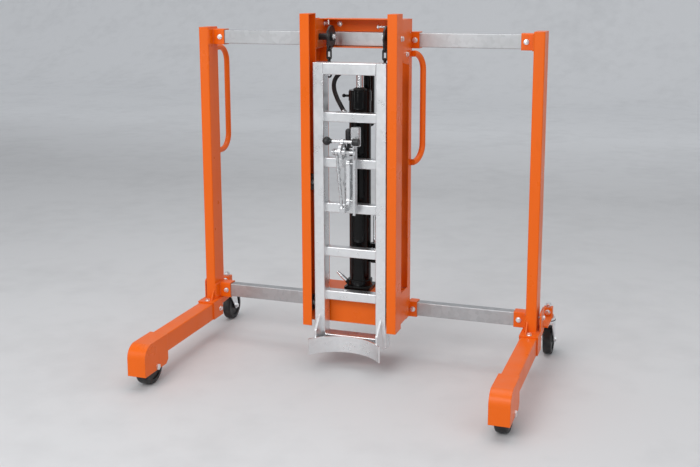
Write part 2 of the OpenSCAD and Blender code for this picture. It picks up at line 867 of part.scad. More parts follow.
// Barrel with its base plate, gland, oil port, bleed nipple and valve boss
module ram_barrel() {
    color(gloss_black) translate([0, ram_y, 0]) {
        difference() {
            union() {
                translate([0, 0, base_top]) linear_extrude(ram_base_t) rounded_rect(ram_base, ram_base, ram_base_round);
                translate([0, 0, base_top]) cylinder(r = ram_collar_r, h = ram_base_t + ram_collar_h);
                translate([0, 0, base_top]) cylinder(r = ram_r, h = ram_top - base_top);
                translate([0, 0, ram_top - ram_gland_h]) cylinder(r = ram_cap_r, h = ram_gland_h - 6);
                translate([-ram_r + 6, 0, ram_top + hose_start.z - 17]) rotate([0, -hose_tilt, 0]) cylinder(r = port_r, h = 24);
                translate([-ram_r - 22, 0, ram_top - 26]) rotate([0, 90, 0]) cylinder(r = 5, h = 26);
                translate([-ram_r - 24, 0, ram_top - 26]) sphere(7.5);
                translate(valve_start) rotate([0, -valve_tilt, 0]) {
                    translate([0, 0, -valve_boss]) cylinder(r = valve_r + 2, h = valve_boss - loose_fit);
                    translate([0, 0, -1]) cylinder(r = valve_pin_r, h = valve_grip - 3);
                }
            }
            translate([0, 0, base_top + ram_floor])
                cylinder(r = piston_r + loose_fit, h = ram_top - ram_gland_h - base_top - ram_floor);
            translate([0, 0, ram_top - ram_gland_h - 1]) cylinder(r = rod_r + run_fit, h = ram_gland_h + 2);
        }
    }
}

// Tank with round ends, two straps to the barrel and the hose port
module oil_tank() {
    color(gloss_black) difference() {
        union() {
            translate([tank_x, tank_y, (tank_z + tank_top) / 2]) rotate_extrude() intersection() {
                rounded_rect(2 * tank_r, tank_top - tank_z, tank_round);
                translate([0, -tank_top / 2]) square([tank_r, tank_top]);
            }
            for (z = tank_strap_z)
                block([tank_x - tank_strap_w, ram_y, z], [tank_x, tank_y, z + tank_strap_h]);
            rod_x(tank_x - tank_r - port_len, tank_y, tank_port_z, port_r, port_len + 3);
        }
        translate([0, ram_y, 0]) cylinder(r = ram_r + loose_fit / 3, h = ram_top);
    }
}

// Points of a smooth curve through the route
function spline(p, i, t) =
    let (a = p[max(i - 1, 0)], b = p[i], c = p[i + 1], d = p[min(i + 2, len(p) - 1)])
    0.5 * (2 * b + (c - a) * t + (2 * a - 5 * b + 4 * c - d) * t * t + (3 * b - a - 3 * c + d) * t * t * t);
function unit(v) = v / norm(v);

// Round tube along a list of points; the side direction is never along the path
module swept_tube(pts, r, sides, side = [0.3, 1, 0]) {
    n = len(pts);
    dirs = [for (i = [0:n - 1]) unit(pts[min(i + 1, n - 1)] - pts[max(i - 1, 0)])];
    rings = [for (i = [0:n - 1])
        let (u = unit(cross(dirs[i], side)), v = cross(dirs[i], u))
        for (k = [0:sides - 1]) pts[i] + r * (cos(360 * k / sides) * u + sin(360 * k / sides) * v)];
    quads = [for (i = [0:n - 2], k = [0:sides - 1])
        let (m = (k + 1) % sides) [i * sides + k, (i + 1) * sides + k, (i + 1) * sides + m, i * sides + m]];
    polyhedron(rings, concat([[for (k = [0:sides - 1]) k]], quads,
                             [[for (k = [sides - 1:-1:0]) (n - 1) * sides + k]]));
}

module oil_hose() {
    seat = loose_fit / 3;
    out = [-sin(hose_tilt), 0, cos(hose_tilt)];
    port = [tank_x - tank_r - port_len - seat, tank_y - ram_y, tank_port_z - ram_top];
    ends = concat([hose_start + hose_lead * out], hose_route, [port - [hose_lead, 0, 0]]);
    pts = [for (i = [0:len(ends) - 2], k = [0:hose_steps - 1]) spline(ends, i, k / hose_steps)];
    color(rubber) translate([0, ram_y, ram_top])
        swept_tube(concat([hose_start + seat * out], pts, [ends[len(ends) - 1], port]), hose_r, hose_sides);
}

// Pump cylinder on the barrel's side, with the arm that carries the rocker's pin
module pump_block() {
    arm_x = rocker_x - rocker_gap - pump_arm_t;
    color(gloss_black) difference() {
        union() {
            translate([pump_x, ram_y, pump_z[0]]) cylinder(r = pump_r, h = pump_z[1] - pump_z[0]);
            block([0, ram_y - 10, pump_z[0] + 10], [pump_x, ram_y + 10, pump_z[1] - 10]);
            block([arm_x, ram_y, pump_z[0] + pump_foot], [arm_x + pump_arm_t, pump_arm_y + pump_arm_half_w, pump_z[1] - 20]);
            yz_plate(arm_x, pump_arm_t) {
                translate([pump_arm_y, pump_arm_z]) circle(pump_arm_half_w);
                translate([pump_arm_y - pump_arm_half_w, pump_z[0] + pump_foot])
                    square([2 * pump_arm_half_w, pump_arm_z - pump_z[0] - pump_foot]);
            }
            rod_x(arm_x, pump_arm_y, pump_arm_z, pump_pin_r, pump_arm_t + rocker_gap + rocker_t + 2);
        }
        translate([0, ram_y, 0]) cylinder(r = ram_r + loose_fit / 3, h = ram_top);
        translate([pump_x, ram_y, pump_z[0] + 12]) cylinder(r = plunger_r + run_fit, h = pump_z[1]);
    }
}

// Plunger with the cross pin that works in the rocker's slot
module pump_plunger() {
    color(chrome) {
        translate([pump_x, ram_y, pump_z[0] + pump_foot]) cylinder(r = plunger_r, h = pump_arm_z + 8 - pump_z[0] - pump_foot);
        rod_x(pump_x, ram_y, pump_arm_z, plunger_pin_r, rocker_x - pump_x + rocker_t + 2);
    }
}

// Rocker with a slot for the plunger and a socket for the pump handle
module pump_rocker() {
    color(gloss_black) difference() {
        union() {
            yz_plate(rocker_x, rocker_t) {
                translate([pump_arm_y, pump_arm_z]) circle(12);
                translate([ram_y, pump_arm_z]) circle(12);
                translate([ram_y, pump_arm_z - 12]) square([pump_arm_y - ram_y, 24]);
            }
            translate([rocker_x + rocker_t / 2, pump_arm_y, pump_arm_z]) rotate([rocker_socket_tilt - 90, 0, 0])
                translate([0, 0, 18]) difference() {
                    cylinder(r = rocker_socket_r, h = rocker_socket_len - 18);
                    translate([0, 0, 14]) cylinder(r = rocker_socket_r - 3, h = rocker_socket_len);
                }
            translate([rocker_x, pump_arm_y, pump_arm_z]) rotate([rocker_socket_tilt, 0, 0])
                translate([0, 0, -9]) cube([rocker_t, 30, 18]);
        }
        rod_x(rocker_x - 1, pump_arm_y, pump_arm_z, pump_pin_r + run_fit, rocker_t + 2);
        yz_plate(rocker_x - 1, rocker_t + 2) translate([ram_y, pump_arm_z]) {
            for (e = [-1, 1]) translate([e * rocker_slot, 0]) circle(plunger_pin_r + 0.6);
            square([2 * rocker_slot, 2 * plunger_pin_r + 1.2], center = true);
        }
    }
}

// Release lever: a grip on the valve pin with a bright tip
module release_lever() {
    color(chrome) translate([0, ram_y, 0]) translate(valve_start) rotate([0, -valve_tilt, 0]) difference() {
        union() {
            cylinder(r = valve_r, h = valve_grip);
            translate([0, 0, valve_grip]) cylinder(r1 = valve_r - 1, r2 = valve_r - 3, h = valve_tip);
        }
        translate([0, 0, -1]) cylinder(r = valve_pin_r + run_fit, h = valve_grip - 2);
    }
}

// Stile with its roller axles and the fin that backs the saddle, for the right-hand side
module stile() {
    difference() {
        union() {
            translate([fin_x, carriage_y + stile_d / 2, carriage_bottom])
                linear_extrude(carriage_top - carriage_bottom) tube_section(stile_w, stile_d, zinc_wall, zinc_round);
            translate([fin_x, carriage_y + stile_d / 2, carriage_top - zinc_wall])
                linear_extrude(zinc_wall) rounded_rect(stile_w, stile_d, zinc_round);
            for (z = roller_z) rod_x(carriage_x - 1, roller_y, z, roller_axle_r, roller_out + 1 - carriage_x);
            yz_plate(fin_x - fin_t / 2, fin_t)
                polygon([[carriage_y + 1, carriage_bottom], [carriage_y - 90, carriage_bottom],
                         [carriage_y - 90, saddle_z + saddle_h - 8], [carriage_y + 1, carriage_bottom + fin_h + 30]]);
        }
        translate([0, saddle_y, 0]) cylinder(r = saddle_r + saddle_wall + loose_fit / 2, h = carriage_top / 2);
    }
}

module stile_left() { color(zinc) on_side(-1) stile(); }
module stile_right() { color(zinc) on_side(1) stile(); }

// Tube across the carriage between the stiles
module cross_tube(y, z, d, h) {
    color(zinc) translate([-stile_in, y + d / 2, z + h / 2])
        rotate([90, 0, 90]) linear_extrude(2 * stile_in) tube_section(d, h, zinc_wall, zinc_round);
}

module top_rail() { cross_tube(carriage_y, carriage_top - top_rail_h, stile_d, top_rail_h); }
module bottom_rail() { cross_tube(carriage_y, carriage_bottom, stile_d, bottom_rail_h); }
module rung(i) { cross_tube(rung_y, rung_top - rung_h - (i - 1) * rung_pitch, rung_d, rung_h); }
module rung_1() { rung(1); }
module rung_2() { rung(2); }
module rung_3() { rung(3); }
module rung_4() { rung(4); }
module rung_5() { rung(5); }

// Curved plate that a drum's lower edge leans on
module drum_saddle() {
    half = asin(saddle_half_w / (saddle_r + saddle_wall / 2));
    color(zinc) translate([0, saddle_y, saddle_z]) rotate([0, 0, 90 - half])
        rotate_extrude(angle = 2 * half) translate([saddle_r, 0]) square([saddle_wall, saddle_h]);
}

// Plate and ribs behind the top rail, which the ram lifts
module lift_bracket() {
    color(zinc) difference() {
        union() {
            block([-lift_plate_half_w, carriage_rear, rod_top], [lift_plate_half_w, lift_plate_rear, rod_top + lift_plate_t]);
            for (x = [-lift_plate_half_w, lift_plate_half_w - lift_rib_t]) yz_plate(x, lift_rib_t)
                polygon([[carriage_rear, rod_top], [lift_plate_rear - 12, rod_top],
                         [lift_plate_rear - 12, rod_top + lift_plate_t], [carriage_rear, carriage_top - 4]]);
        }
        translate([0, ram_y, rod_top - 1]) cylinder(r = rod_stud_r + loose_fit, h = lift_plate_t + 2);
    }
}

// Piston, rod and the nut that holds the lift bracket
module piston_rod() {
    color(chrome) translate([0, ram_y, 0]) {
        translate([0, 0, piston_z]) cylinder(r = piston_r, h = piston_t);
        translate([0, 0, piston_z]) cylinder(r = rod_r, h = rod_top - piston_z);
        translate([0, 0, rod_top - 1]) cylinder(r = rod_stud_r, h = lift_plate_t + 20);
        translate([0, 0, rod_top + lift_plate_t]) cylinder(r = rod_stud_r + 6, h = 14, $fn = 6);
    }
}

// Guide roller on its axle, for the right-hand side
module guide_roller(z) {
    translate([roller_out - roller_w, roller_y, z]) rotate([0, 90, 0]) rotate_extrude()
        translate([roller_axle_r + run_fit, 0]) polygon([
            [0, 0], [roller_r - roller_axle_r - run_fit - 2, 0], [roller_r - roller_axle_r - run_fit, 2],
            [roller_r - roller_axle_r - run_fit, roller_w - 2], [roller_r - roller_axle_r - run_fit - 2, roller_w],
            [0, roller_w]]);
}

module roller_lower_left() { color(rubber) on_side(-1) guide_roller(roller_z[0]); }
module roller_lower_right() { color(rubber) on_side(1) guide_roller(roller_z[0]); }
module roller_upper_left() { color(rubber) on_side(-1) guide_roller(roller_z[1]); }
module roller_upper_right() { color(rubber) on_side(1) guide_roller(roller_z[1]); }

// Channel on the second and third rungs, with its head block and cross pins
module clamp_channel() {
    color(zinc) difference() {
        union() {
            difference() {
                block([-clamp_half, clamp_y, clamp_bottom], [clamp_half, rung_y, clamp_top]);
                block([-clamp_half + clamp_wall, clamp_y - 1, clamp_bottom - 1],
                      [clamp_half - clamp_wall, rung_y - clamp_wall, clamp_top + 1]);
                block([-clamp_half + clamp_wall, clamp_y, clamp_top - clamp_web_drop],
                      [clamp_half - clamp_wall - 6, rung_y + 1, clamp_top + 1]);
                block([-clamp_half - 1, clamp_y - 1, clamp_bottom - 1],
                      [-clamp_half + clamp_wall + 1, rung_y - clamp_wall, hub_z - clamp_cut]);
            }
            block([clamp_half - 1, clamp_y, clamp_bottom], [clamp_half + clamp_lip, clamp_y + clamp_wall, hub_z - clamp_cut]);
            translate([head_block_x, head_block_y, clamp_top]) intersection() {
                linear_extrude(head_block.z) rounded_rect(head_block.x, head_block.y, head_block_round);
                rotate([90, 0, 0]) linear_extrude(head_block.y, center = true)
                    rounded_rect(head_block.x, 2 * head_block.z, head_block_round);
            }
            rod_x(lever_x, lever_y, lever_z, lever_pin_r, clamp_half - 1 - lever_x);
            for (z = jaw_pins) rod_x(jaw_x - 3, jaw_y + jaw_t / 2, z, jaw_pin_r, clamp_half - 1 - jaw_x + 3);
            xz_plate(rung_y - clamp_wall - boss_t, boss_t + 1) translate([boss_x, boss_z]) difference() {
                circle(boss_r);
                translate([0, -3]) circle(boss_r / 2);
            }
        }
        rod_x(-clamp_w, hub_y, hub_z, hub_r + loose_fit, 2 * clamp_w);
    }
}

// Hub pin with its nut, and the rod from its end down to the channel's foot
module clamp_link() {
    foot = [-clamp_half, hub_y, link_foot_z];
    eye = [link_x, hub_y, hub_z - 10];
    run = eye - foot;
    color(zinc) {
        rod_x(hub_left, hub_y, hub_z, hub_r, clamp_half + 8 - hub_left);
        rod_x(hub_left + 6, hub_y, hub_z, hub_nut_r, 6, $fn = 6);
        rod_x(link_x - 5, hub_y, hub_z, hub_nut_r, 10);
        rod_x(clamp_half + loose_fit, hub_y, hub_z, hub_nut_r, 7, $fn = 6);
        translate(foot) rotate([0, atan2(run.x, run.z), 0]) {
            cylinder(r = link_r, h = norm(run));
            translate([0, 0, 6]) cylinder(r1 = link_r + link_swell, r2 = link_r, h = 12);
            for (k = [0.52, 0.7]) translate([0, 0, k * norm(run)]) cylinder(r = link_r + 2.5, h = link_collar);
        }
        block([foot.x - link_r - 3, hub_y - 8, link_foot_z - 10], [jaw_x - 2, rung_y - clamp_wall, link_foot_z + 8]);
    }
}

// Jaw bar inside the channel, on its two cross pins, with a hooked lower end
module jaw_bar() {
    color(zinc) difference() {
        yz_plate(jaw_x, jaw_w) {
            translate([jaw_y, jaw_pins[0] - 2 * jaw_end]) square([jaw_t, jaw_pins[1] - jaw_pins[0] + 3 * jaw_end]);
            translate([jaw_y + jaw_t / 2, jaw_pins[1] + jaw_end]) circle(jaw_t / 2);
            for (z = jaw_pins) translate([jaw_y + jaw_t / 2, z]) circle(jaw_end);
            translate([jaw_y - jaw_t, jaw_pins[0] - 2 * jaw_end]) square([jaw_t + 1, jaw_t]);
        }
        for (z = jaw_pins) rod_x(jaw_x - 1, jaw_y + jaw_t / 2, z, jaw_pin_r + run_fit, jaw_w + 2);
    }
}

// Beak: a claw that curves up from the pivot and over to the front
module clamp_beak() {
    color(zinc) difference() {
        union() {
            rod_x(beak_x, hub_y, hub_z, hub_r + 6, beak_w);
            yz_plate(beak_x, beak_w) translate([hub_y - beak_offset, hub_z]) difference() {
                circle(beak_r);
                circle(beak_r - 16);
                translate([-2 * beak_r, -2 * beak_r]) square([4 * beak_r, 2 * beak_r]);
                translate([-beak_r - 1, -1]) square([7, 12]);
            }
            yz_plate(beak_x, beak_w) translate([cross_y, cross_z]) circle(cross_r + 5);
        }
        rod_x(beak_x - 1, hub_y, hub_z, hub_r + run_fit, beak_w + 2);
        rod_x(beak_x - 1, cross_y, cross_z, cross_r + run_fit, beak_w + 2);
    }
}

// Cross bar through the beak, with a ball knob and an end cap
module clamp_cross_bar() {
    color(rubber) translate([0, cross_y, cross_z]) rotate([0, 90, 0]) rotate_extrude() {
        translate([0, cross_left - knob_r]) {
            intersection() {
                circle(knob_r);
                translate([0, -knob_r]) square([knob_r, 2 * knob_r]);
            }
            square([cross_r, cross_right - cross_left + knob_r + 1]);
        }
        translate([0, cross_left - 2]) polygon([[0, 0], [knob_r / 2 + 1, -4], [cross_r + 1.5, 8], [0, 8]]);
        translate([0, cross_right]) polygon([[0, 0], [cap_r - cap_edge, 0], [cap_r, cap_edge],
                                             [cap_r, cap_len - cap_edge], [cap_r - cap_edge, cap_len], [0, cap_len]]);
    }
}

// Lever on its pin behind the beak, with a round grip
module clamp_lever() {
    color(rubber) difference() {
        union() {
            yz_plate(lever_x, lever_t) {
                translate([lever_y, lever_z]) circle(lever_half);
                translate([lever_y - lever_half + 2, lever_z]) square([2 * lever_half - 4, lever_len]);
            }
            translate([lever_x + lever_t / 2, lever_y, lever_z + lever_len - 4]) {
                cylinder(r = grip_r, h = grip_len - grip_r);
                translate([0, 0, grip_len - grip_r]) sphere(grip_r);
            }
        }
        rod_x(lever_x - 1, lever_y, lever_z, lever_pin_r + run_fit, lever_t + 2);
    }
}

// Wheel with a crowned tyre, a dished side and a bore, about its own axis
module wheel(d, w, bore) {
    r = d / 2;
    crown = w / 5;
    rotate([0, 90, 0]) difference() {
        rotate_extrude() intersection() {
            rounded_rect(d, w, crown);
            translate([0, -w]) square([r, 2 * w]);
        }
        for (e = [0, 1]) mirror([0, 0, e]) translate([0, 0, w / 2 - 5]) difference() {
            cylinder(r = r * 0.72, h = 6);
            translate([0, 0, -1]) cylinder(r = bore + 9, h = 8);
        }
        cylinder(r = bore, h = 2 * w, center = true);
    }
}

module front_wheel(s) {
    color(rubber) translate([s * leg_x, front_axle_y, front_axle_z])
        wheel(front_wheel_d, front_wheel_w, front_axle_r + run_fit);
}
module front_wheel_left() { front_wheel(-1); }
module front_wheel_right() { front_wheel(1); }

// Castor fork with its swivel head, stem and axle, about the swivel axis
module castor_fork(s) {
    top = leg_top - loose_fit;
    under = top - castor_head_h;
    half = castor_w / 2 + castor_side_gap;
    axle = [castor_trail, castor_d / 2];
    color(zinc) translate([s * castor_x, castor_y, 0]) {
        translate([0, 0, under]) cylinder(r = castor_head_r, h = castor_head_h);
        translate([0, 0, under]) cylinder(r = castor_stem_r, h = castor_stem_top - under);
        translate([0, 0, castor_stem_top - 12]) cylinder(r = castor_stem_r + 5, h = 9, $fn = 6);
        block([-half - castor_cheek, -24, under - 6], [half + castor_cheek, 34, under + 1]);
        for (x = [-half - castor_cheek, half]) yz_plate(x, castor_cheek) {
            translate(axle) circle(14);
            polygon([[-24, under - 1], [-24, under - 18], [castor_trail - 12, castor_d / 2 - 7],
                     [castor_trail + 13, castor_d / 2 + 5], [34, under - 1]]);
        }
        rod_x(-half - castor_cheek - 5, axle.x, axle.y, castor_axle_r, 2 * (half + castor_cheek + 5));
        for (e = [-1, 1]) translate([e * (half + castor_cheek + 3), axle.x, axle.y]) rotate([0, 90, 0])
            cylinder(r = castor_axle_r + 4, h = 6, center = true, $fn = 6);
    }
}
module castor_fork_left() { castor_fork(-1); }
module castor_fork_right() { castor_fork(1); }

module castor_wheel(s) {
    color(rubber) translate([s * castor_x, castor_axle_y, castor_d / 2])
        wheel(castor_d, castor_w, castor_axle_r + run_fit);
}
module castor_wheel_left() { castor_wheel(-1); }
module castor_wheel_right() { castor_wheel(1); }

// One chain link, standing, about its middle
module chain_link() {
    for (e = [0, 1]) mirror([0, 0, e]) translate([0, 0, link_half]) rotate([90, 0, 0])
        rotate_extrude(angle = 180) translate([link_bend, 0]) circle(link_wire);
    for (x = [-1, 1]) translate([x * link_bend, 0, 0]) cylinder(r = link_wire, h = 2 * link_half, center = true);
}

// Eye that hangs on the chain axle, with its chain, for the right-hand side
module chain_hanger() {
    eye = hanger_eye_drop * [-sin(hanger_lean), -cos(hanger_lean)];
    first = chain_axle_z + eye.y - hanger_eye_hole + link_wire + 2 - link_half - link_bend;
    pitch = 2 * (link_half + link_bend - link_wire) - loose_fit;
    difference() {
        translate([hanger_x - hanger_t / 2, chain_axle_y, chain_axle_z]) rotate([90, 0, 90])
            linear_extrude(hanger_t) difference() {
                rotate(-hanger_lean) tear(hanger_r, hanger_eye_r, hanger_eye_drop);
                circle(chain_axle_r + run_fit);
                translate(eye) circle(hanger_eye_hole);
            }
    }
    for (i = [0:link_count - 1])
        translate([hanger_x, chain_axle_y + eye.x, first - i * pitch]) rotate([0, 0, 90 * (i % 2)]) chain_link();
}

module chain_hanger_left() { color(gloss_black) on_side(-1) chain_hanger(); }
module chain_hanger_right() { color(gloss_black) on_side(1) chain_hanger(); }

upright_left();
upright_right();
leg_left();
leg_right();
wheel_hood_left();
wheel_hood_right();
top_bar();
bottom_bar();
mast_channel_left();
mast_channel_right();
side_plate_left();
side_plate_right();
head_channel();
base_channel();
bracket_top_left();
bracket_top_right();
bracket_bottom_left();
bracket_bottom_right();
push_handle_left();
push_handle_right();
chain_axles();
frame_bolts();
front_axles();
ram_barrel();
oil_tank();
oil_hose();
pump_block();
stile_left();
stile_right();
top_rail();
bottom_rail();
rung_1();
rung_2();
rung_3();
rung_4();
rung_5();
drum_saddle();
lift_bracket();
piston_rod();
clamp_channel();
clamp_link();
jaw_bar();
roller_lower_left();
roller_lower_right();
roller_upper_left();
roller_upper_right();
clamp_beak();
clamp_cross_bar();
clamp_lever();
front_wheel_left();
front_wheel_right();
castor_fork_left();
castor_fork_right();
castor_wheel_left();
castor_wheel_right();
chain_hanger_left();
chain_hanger_right();
pump_rocker();
pump_plunger();
release_lever();
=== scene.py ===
"""Looks of the drum lifter: finishes for its solids, fine pieces, floor, light and camera."""
import json
import logging
import math
from collections.abc import Sequence
from dataclasses import dataclass, field
from enum import Enum

import bmesh
import bpy
import numpy as np
from mathutils import Matrix, Vector

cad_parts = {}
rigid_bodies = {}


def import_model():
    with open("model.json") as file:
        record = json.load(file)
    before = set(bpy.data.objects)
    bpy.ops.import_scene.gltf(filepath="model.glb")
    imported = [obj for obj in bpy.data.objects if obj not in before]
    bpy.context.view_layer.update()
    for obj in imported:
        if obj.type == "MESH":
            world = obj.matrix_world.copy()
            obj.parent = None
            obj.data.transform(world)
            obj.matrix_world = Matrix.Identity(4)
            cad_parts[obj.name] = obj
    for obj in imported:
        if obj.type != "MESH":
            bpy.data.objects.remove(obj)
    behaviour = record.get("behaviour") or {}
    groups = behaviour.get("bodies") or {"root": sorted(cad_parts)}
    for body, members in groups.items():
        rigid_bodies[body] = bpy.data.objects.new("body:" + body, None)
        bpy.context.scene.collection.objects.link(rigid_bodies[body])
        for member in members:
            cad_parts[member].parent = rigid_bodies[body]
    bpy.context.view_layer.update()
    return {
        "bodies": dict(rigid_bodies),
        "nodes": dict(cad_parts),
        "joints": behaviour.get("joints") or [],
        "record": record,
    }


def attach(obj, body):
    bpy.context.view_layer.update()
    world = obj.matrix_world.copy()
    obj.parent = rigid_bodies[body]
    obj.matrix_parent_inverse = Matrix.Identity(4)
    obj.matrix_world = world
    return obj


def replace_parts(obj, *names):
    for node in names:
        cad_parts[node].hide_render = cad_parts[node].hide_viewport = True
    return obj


log = logging.getLogger("drum_lifter")

Colour = tuple[float, float, float]
Point = tuple[float, float, float]
Profile = Sequence[tuple[float, float]] | np.ndarray
# Point under a washer, direction of the head and length of the shank.
Seat = tuple[Point, Point, float]
Socket = bpy.types.NodeSocket

RIGHT: Point = (1.0, 0.0, 0.0)
LEFT: Point = (-1.0, 0.0, 0.0)
FRONT: Point = (0.0, -1.0, 0.0)
REAR: Point = (0.0, 1.0, 0.0)
UP: Point = (0.0, 0.0, 1.0)
BLACK: Colour = (0.0, 0.0, 0.0)
WHITE: Colour = (1.0, 1.0, 1.0)


class Slot(Enum):
    """Material slots of the part's record."""

    ORANGE = "orange_paint"
    ZINC = "zinc_plate"
    BLACK_PAINT = "black_paint"
    BLACK_STEEL = "black_steel"
    BRIGHT = "bright_rod"
    PLASTIC = "black_plastic"
    WHEEL = "wheel_nylon"
    HOSE = "hose_rubber"


class Graph:
    """Node tree of one material, read on Object coordinates."""

    def __init__(self, name: str) -> None:
        """Starts a material with a Principled shader.

        Args:
            name: Name of the material.
        """
        self.material = bpy.data.materials.new(name)
        self.material.use_nodes = True
        self.tree = self.material.node_tree
        self.shader = self.tree.nodes["Principled BSDF"]
        self.place = self.add("ShaderNodeTexCoord").outputs["Object"]

    def add(self, kind: str, **settings: object) -> bpy.types.Node:
        """Adds a node.

        Args:
            kind: Blender's name of the node type.
            settings: Properties to set on the node.

        Returns:
            The new node.
        """
        node = self.tree.nodes.new(kind)
        for key, value in settings.items():
            setattr(node, key, value)
        return node

    def feed(self, socket: Socket, value: object) -> None:
        """Links an output to a socket, or sets a constant on it.

        Args:
            socket: Input socket.
            value: Output socket, number, colour or vector.
        """
        if isinstance(value, Socket):
            self.tree.links.new(value, socket)
        elif socket.type == "RGBA":
            socket.default_value = (*value, 1.0)
        else:
            socket.default_value = value

    def stretched(self, stretch: Point) -> Socket:
        """Object coordinates scaled along each axis.

        Args:
            stretch: Scale along X, Y and Z.

        Returns:
            Vector socket.
        """
        node = self.add("ShaderNodeMapping")
        self.feed(node.inputs["Vector"], self.place)
        node.inputs["Scale"].default_value = stretch
        return node.outputs["Vector"]

    def noise(self, scale: float, detail: float, stretch: Point | None = None) -> Socket:
        """Soft noise from 0 to 1.

        Args:
            scale: Waves per metre.
            detail: Octaves of finer noise.
            stretch: Scale along each axis, if the noise is drawn out.

        Returns:
            Value socket.
        """
        node = self.add("ShaderNodeTexNoise")
        self.feed(node.inputs["Vector"], self.stretched(stretch) if stretch else self.place)
        node.inputs["Scale"].default_value = scale
        node.inputs["Detail"].default_value = detail
        return node.outputs["Fac"]

    def cells(self, scale: float) -> Socket:
        """Random grey per crystal cell.

        Args:
            scale: Cells per metre.

        Returns:
            Colour socket.
        """
        node = self.add("ShaderNodeTexVoronoi")
        self.feed(node.inputs["Vector"], self.place)
        node.inputs["Scale"].default_value = scale
        return node.outputs["Color"]

    def span(self, value: Socket, low: float, high: float,
             start: float = 0.0, end: float = 1.0) -> Socket:
        """Maps a value from start..end to low..high, held at the ends.

        Args:
            value: Socket to map.
            low: Result at start.
            high: Result at end.
            start: Value that gives low.
            end: Value that gives high.

        Returns:
            Value socket.
        """
        node = self.add("ShaderNodeMapRange", clamp=True)
        self.feed(node.inputs["Value"], value)
        node.inputs["From Min"].default_value = start
        node.inputs["From Max"].default_value = end
        node.inputs["To Min"].default_value = low
        node.inputs["To Max"].default_value = high
        return node.outputs["Result"]

    def math(self, operation: str, a: object, b: object) -> Socket:
        """One operation on two values.

        Args:
            operation: Blender's name of the operation.
            a: First value or socket.
            b: Second value or socket.

        Returns:
            Value socket.
        """
        node = self.add("ShaderNodeMath", operation=operation)
        self.feed(node.inputs[0], a)
        self.feed(node.inputs[1], b)
        return node.outputs["Value"]

    def mix(self, share: object, a: object, b: object, how: str = "MIX") -> Socket:
        """Mixes two colours.

        Args:
            share: Share of the second colour.
            a: First colour or socket.
            b: Second colour or socket.
            how: Blend type.

        Returns:
            Colour socket.
        """
        node = self.add("ShaderNodeMix", data_type="RGBA", blend_type=how)
        self.feed(node.inputs[0], share)
        self.feed(node.inputs[6], a)
        self.feed(node.inputs[7], b)
        return node.outputs[2]

    def shade(self, colour: object, tone: Socket) -> Socket:
        """Colour times a grey tone.

        Args:
            colour: Colour or socket.
            tone: Brightness, 1 for the plain colour.

        Returns:
            Colour socket.
        """
        return self.mix(1.0, colour, self.mix(tone, BLACK, WHITE), "MULTIPLY")

    def patchy(self, mask: Socket, scale: float, detail: float,
               most: float, start: float, end: float) -> Socket:
        """Mask that noise breaks up into patches.

        Args:
            mask: Where patches may lie.
            scale: Waves of the noise per metre.
            detail: Octaves of finer noise.
            most: Strength inside a patch.
            start: Noise at a patch's rim.
            end: Noise at full strength.

        Returns:
            Value socket.
        """
        return self.math("MULTIPLY", mask, self.span(self.noise(scale, detail), 0.0, most, start, end))

    def eased(self, radius: float) -> Socket:
        """Normal that rolls over the edges, as on a real fold or saw cut.

        Args:
            radius: Radius of the edge in metres.

        Returns:
            Normal socket.
        """
        node = self.add("ShaderNodeBevel", samples=5)
        node.inputs["Radius"].default_value = radius
        return node.outputs["Normal"]

    def edge(self, eased: Socket) -> Socket:
        """Mask that is 1 on outer and inner edges: how far the eased normal leaves the true one.

        Args:
            eased: Normal that rolls over the edges.

        Returns:
            Value socket.
        """
        plain = self.add("ShaderNodeNewGeometry")
        dot = self.add("ShaderNodeVectorMath", operation="DOT_PRODUCT")
        self.feed(dot.inputs[0], eased)
        self.feed(dot.inputs[1], plain.outputs["Normal"])
        return self.span(dot.outputs["Value"], 1.0, 0.0, 0.90, 0.995)

    def across(self, axis: str) -> Socket:
        """One coordinate in metres.

        Args:
            axis: X, Y or Z.

        Returns:
            Value socket.
        """
        split = self.add("ShaderNodeSeparateXYZ")
        self.feed(split.inputs["Vector"], self.place)
        return split.outputs[axis]

    def facing_up(self) -> Socket:
        """Mask that is 1 on faces that look up."""
        plain = self.add("ShaderNodeNewGeometry")
        split = self.add("ShaderNodeSeparateXYZ")
        self.feed(split.inputs["Vector"], plain.outputs["Normal"])
        return self.span(split.outputs["Z"], 0.0, 1.0, 0.5, 0.95)

    def bump(self, height: Socket, depth: float, strength: float, under: Socket) -> Socket:
        """Surface relief.

        Args:
            height: Height from 0 to 1.
            depth: Depth of the relief in metres.
            strength: Share of the relief that shows.
            under: Normal of a coarser relief.

        Returns:
            Normal socket.
        """
        node = self.add("ShaderNodeBump")
        node.inputs["Distance"].default_value = depth
        node.inputs["Strength"].default_value = strength
        self.feed(node.inputs["Height"], height)
        self.feed(node.inputs["Normal"], under)
        return node.outputs["Normal"]

    def dress(self, **sockets: object) -> bpy.types.Material:
        """Sets the shader's sockets, with _ for a blank in a name.

        Args:
            sockets: Socket name to value or output socket.

        Returns:
            The finished material.
        """
        for key, value in sockets.items():
            self.feed(self.shader.inputs[key.replace("_", " ")], value)
        return self.material


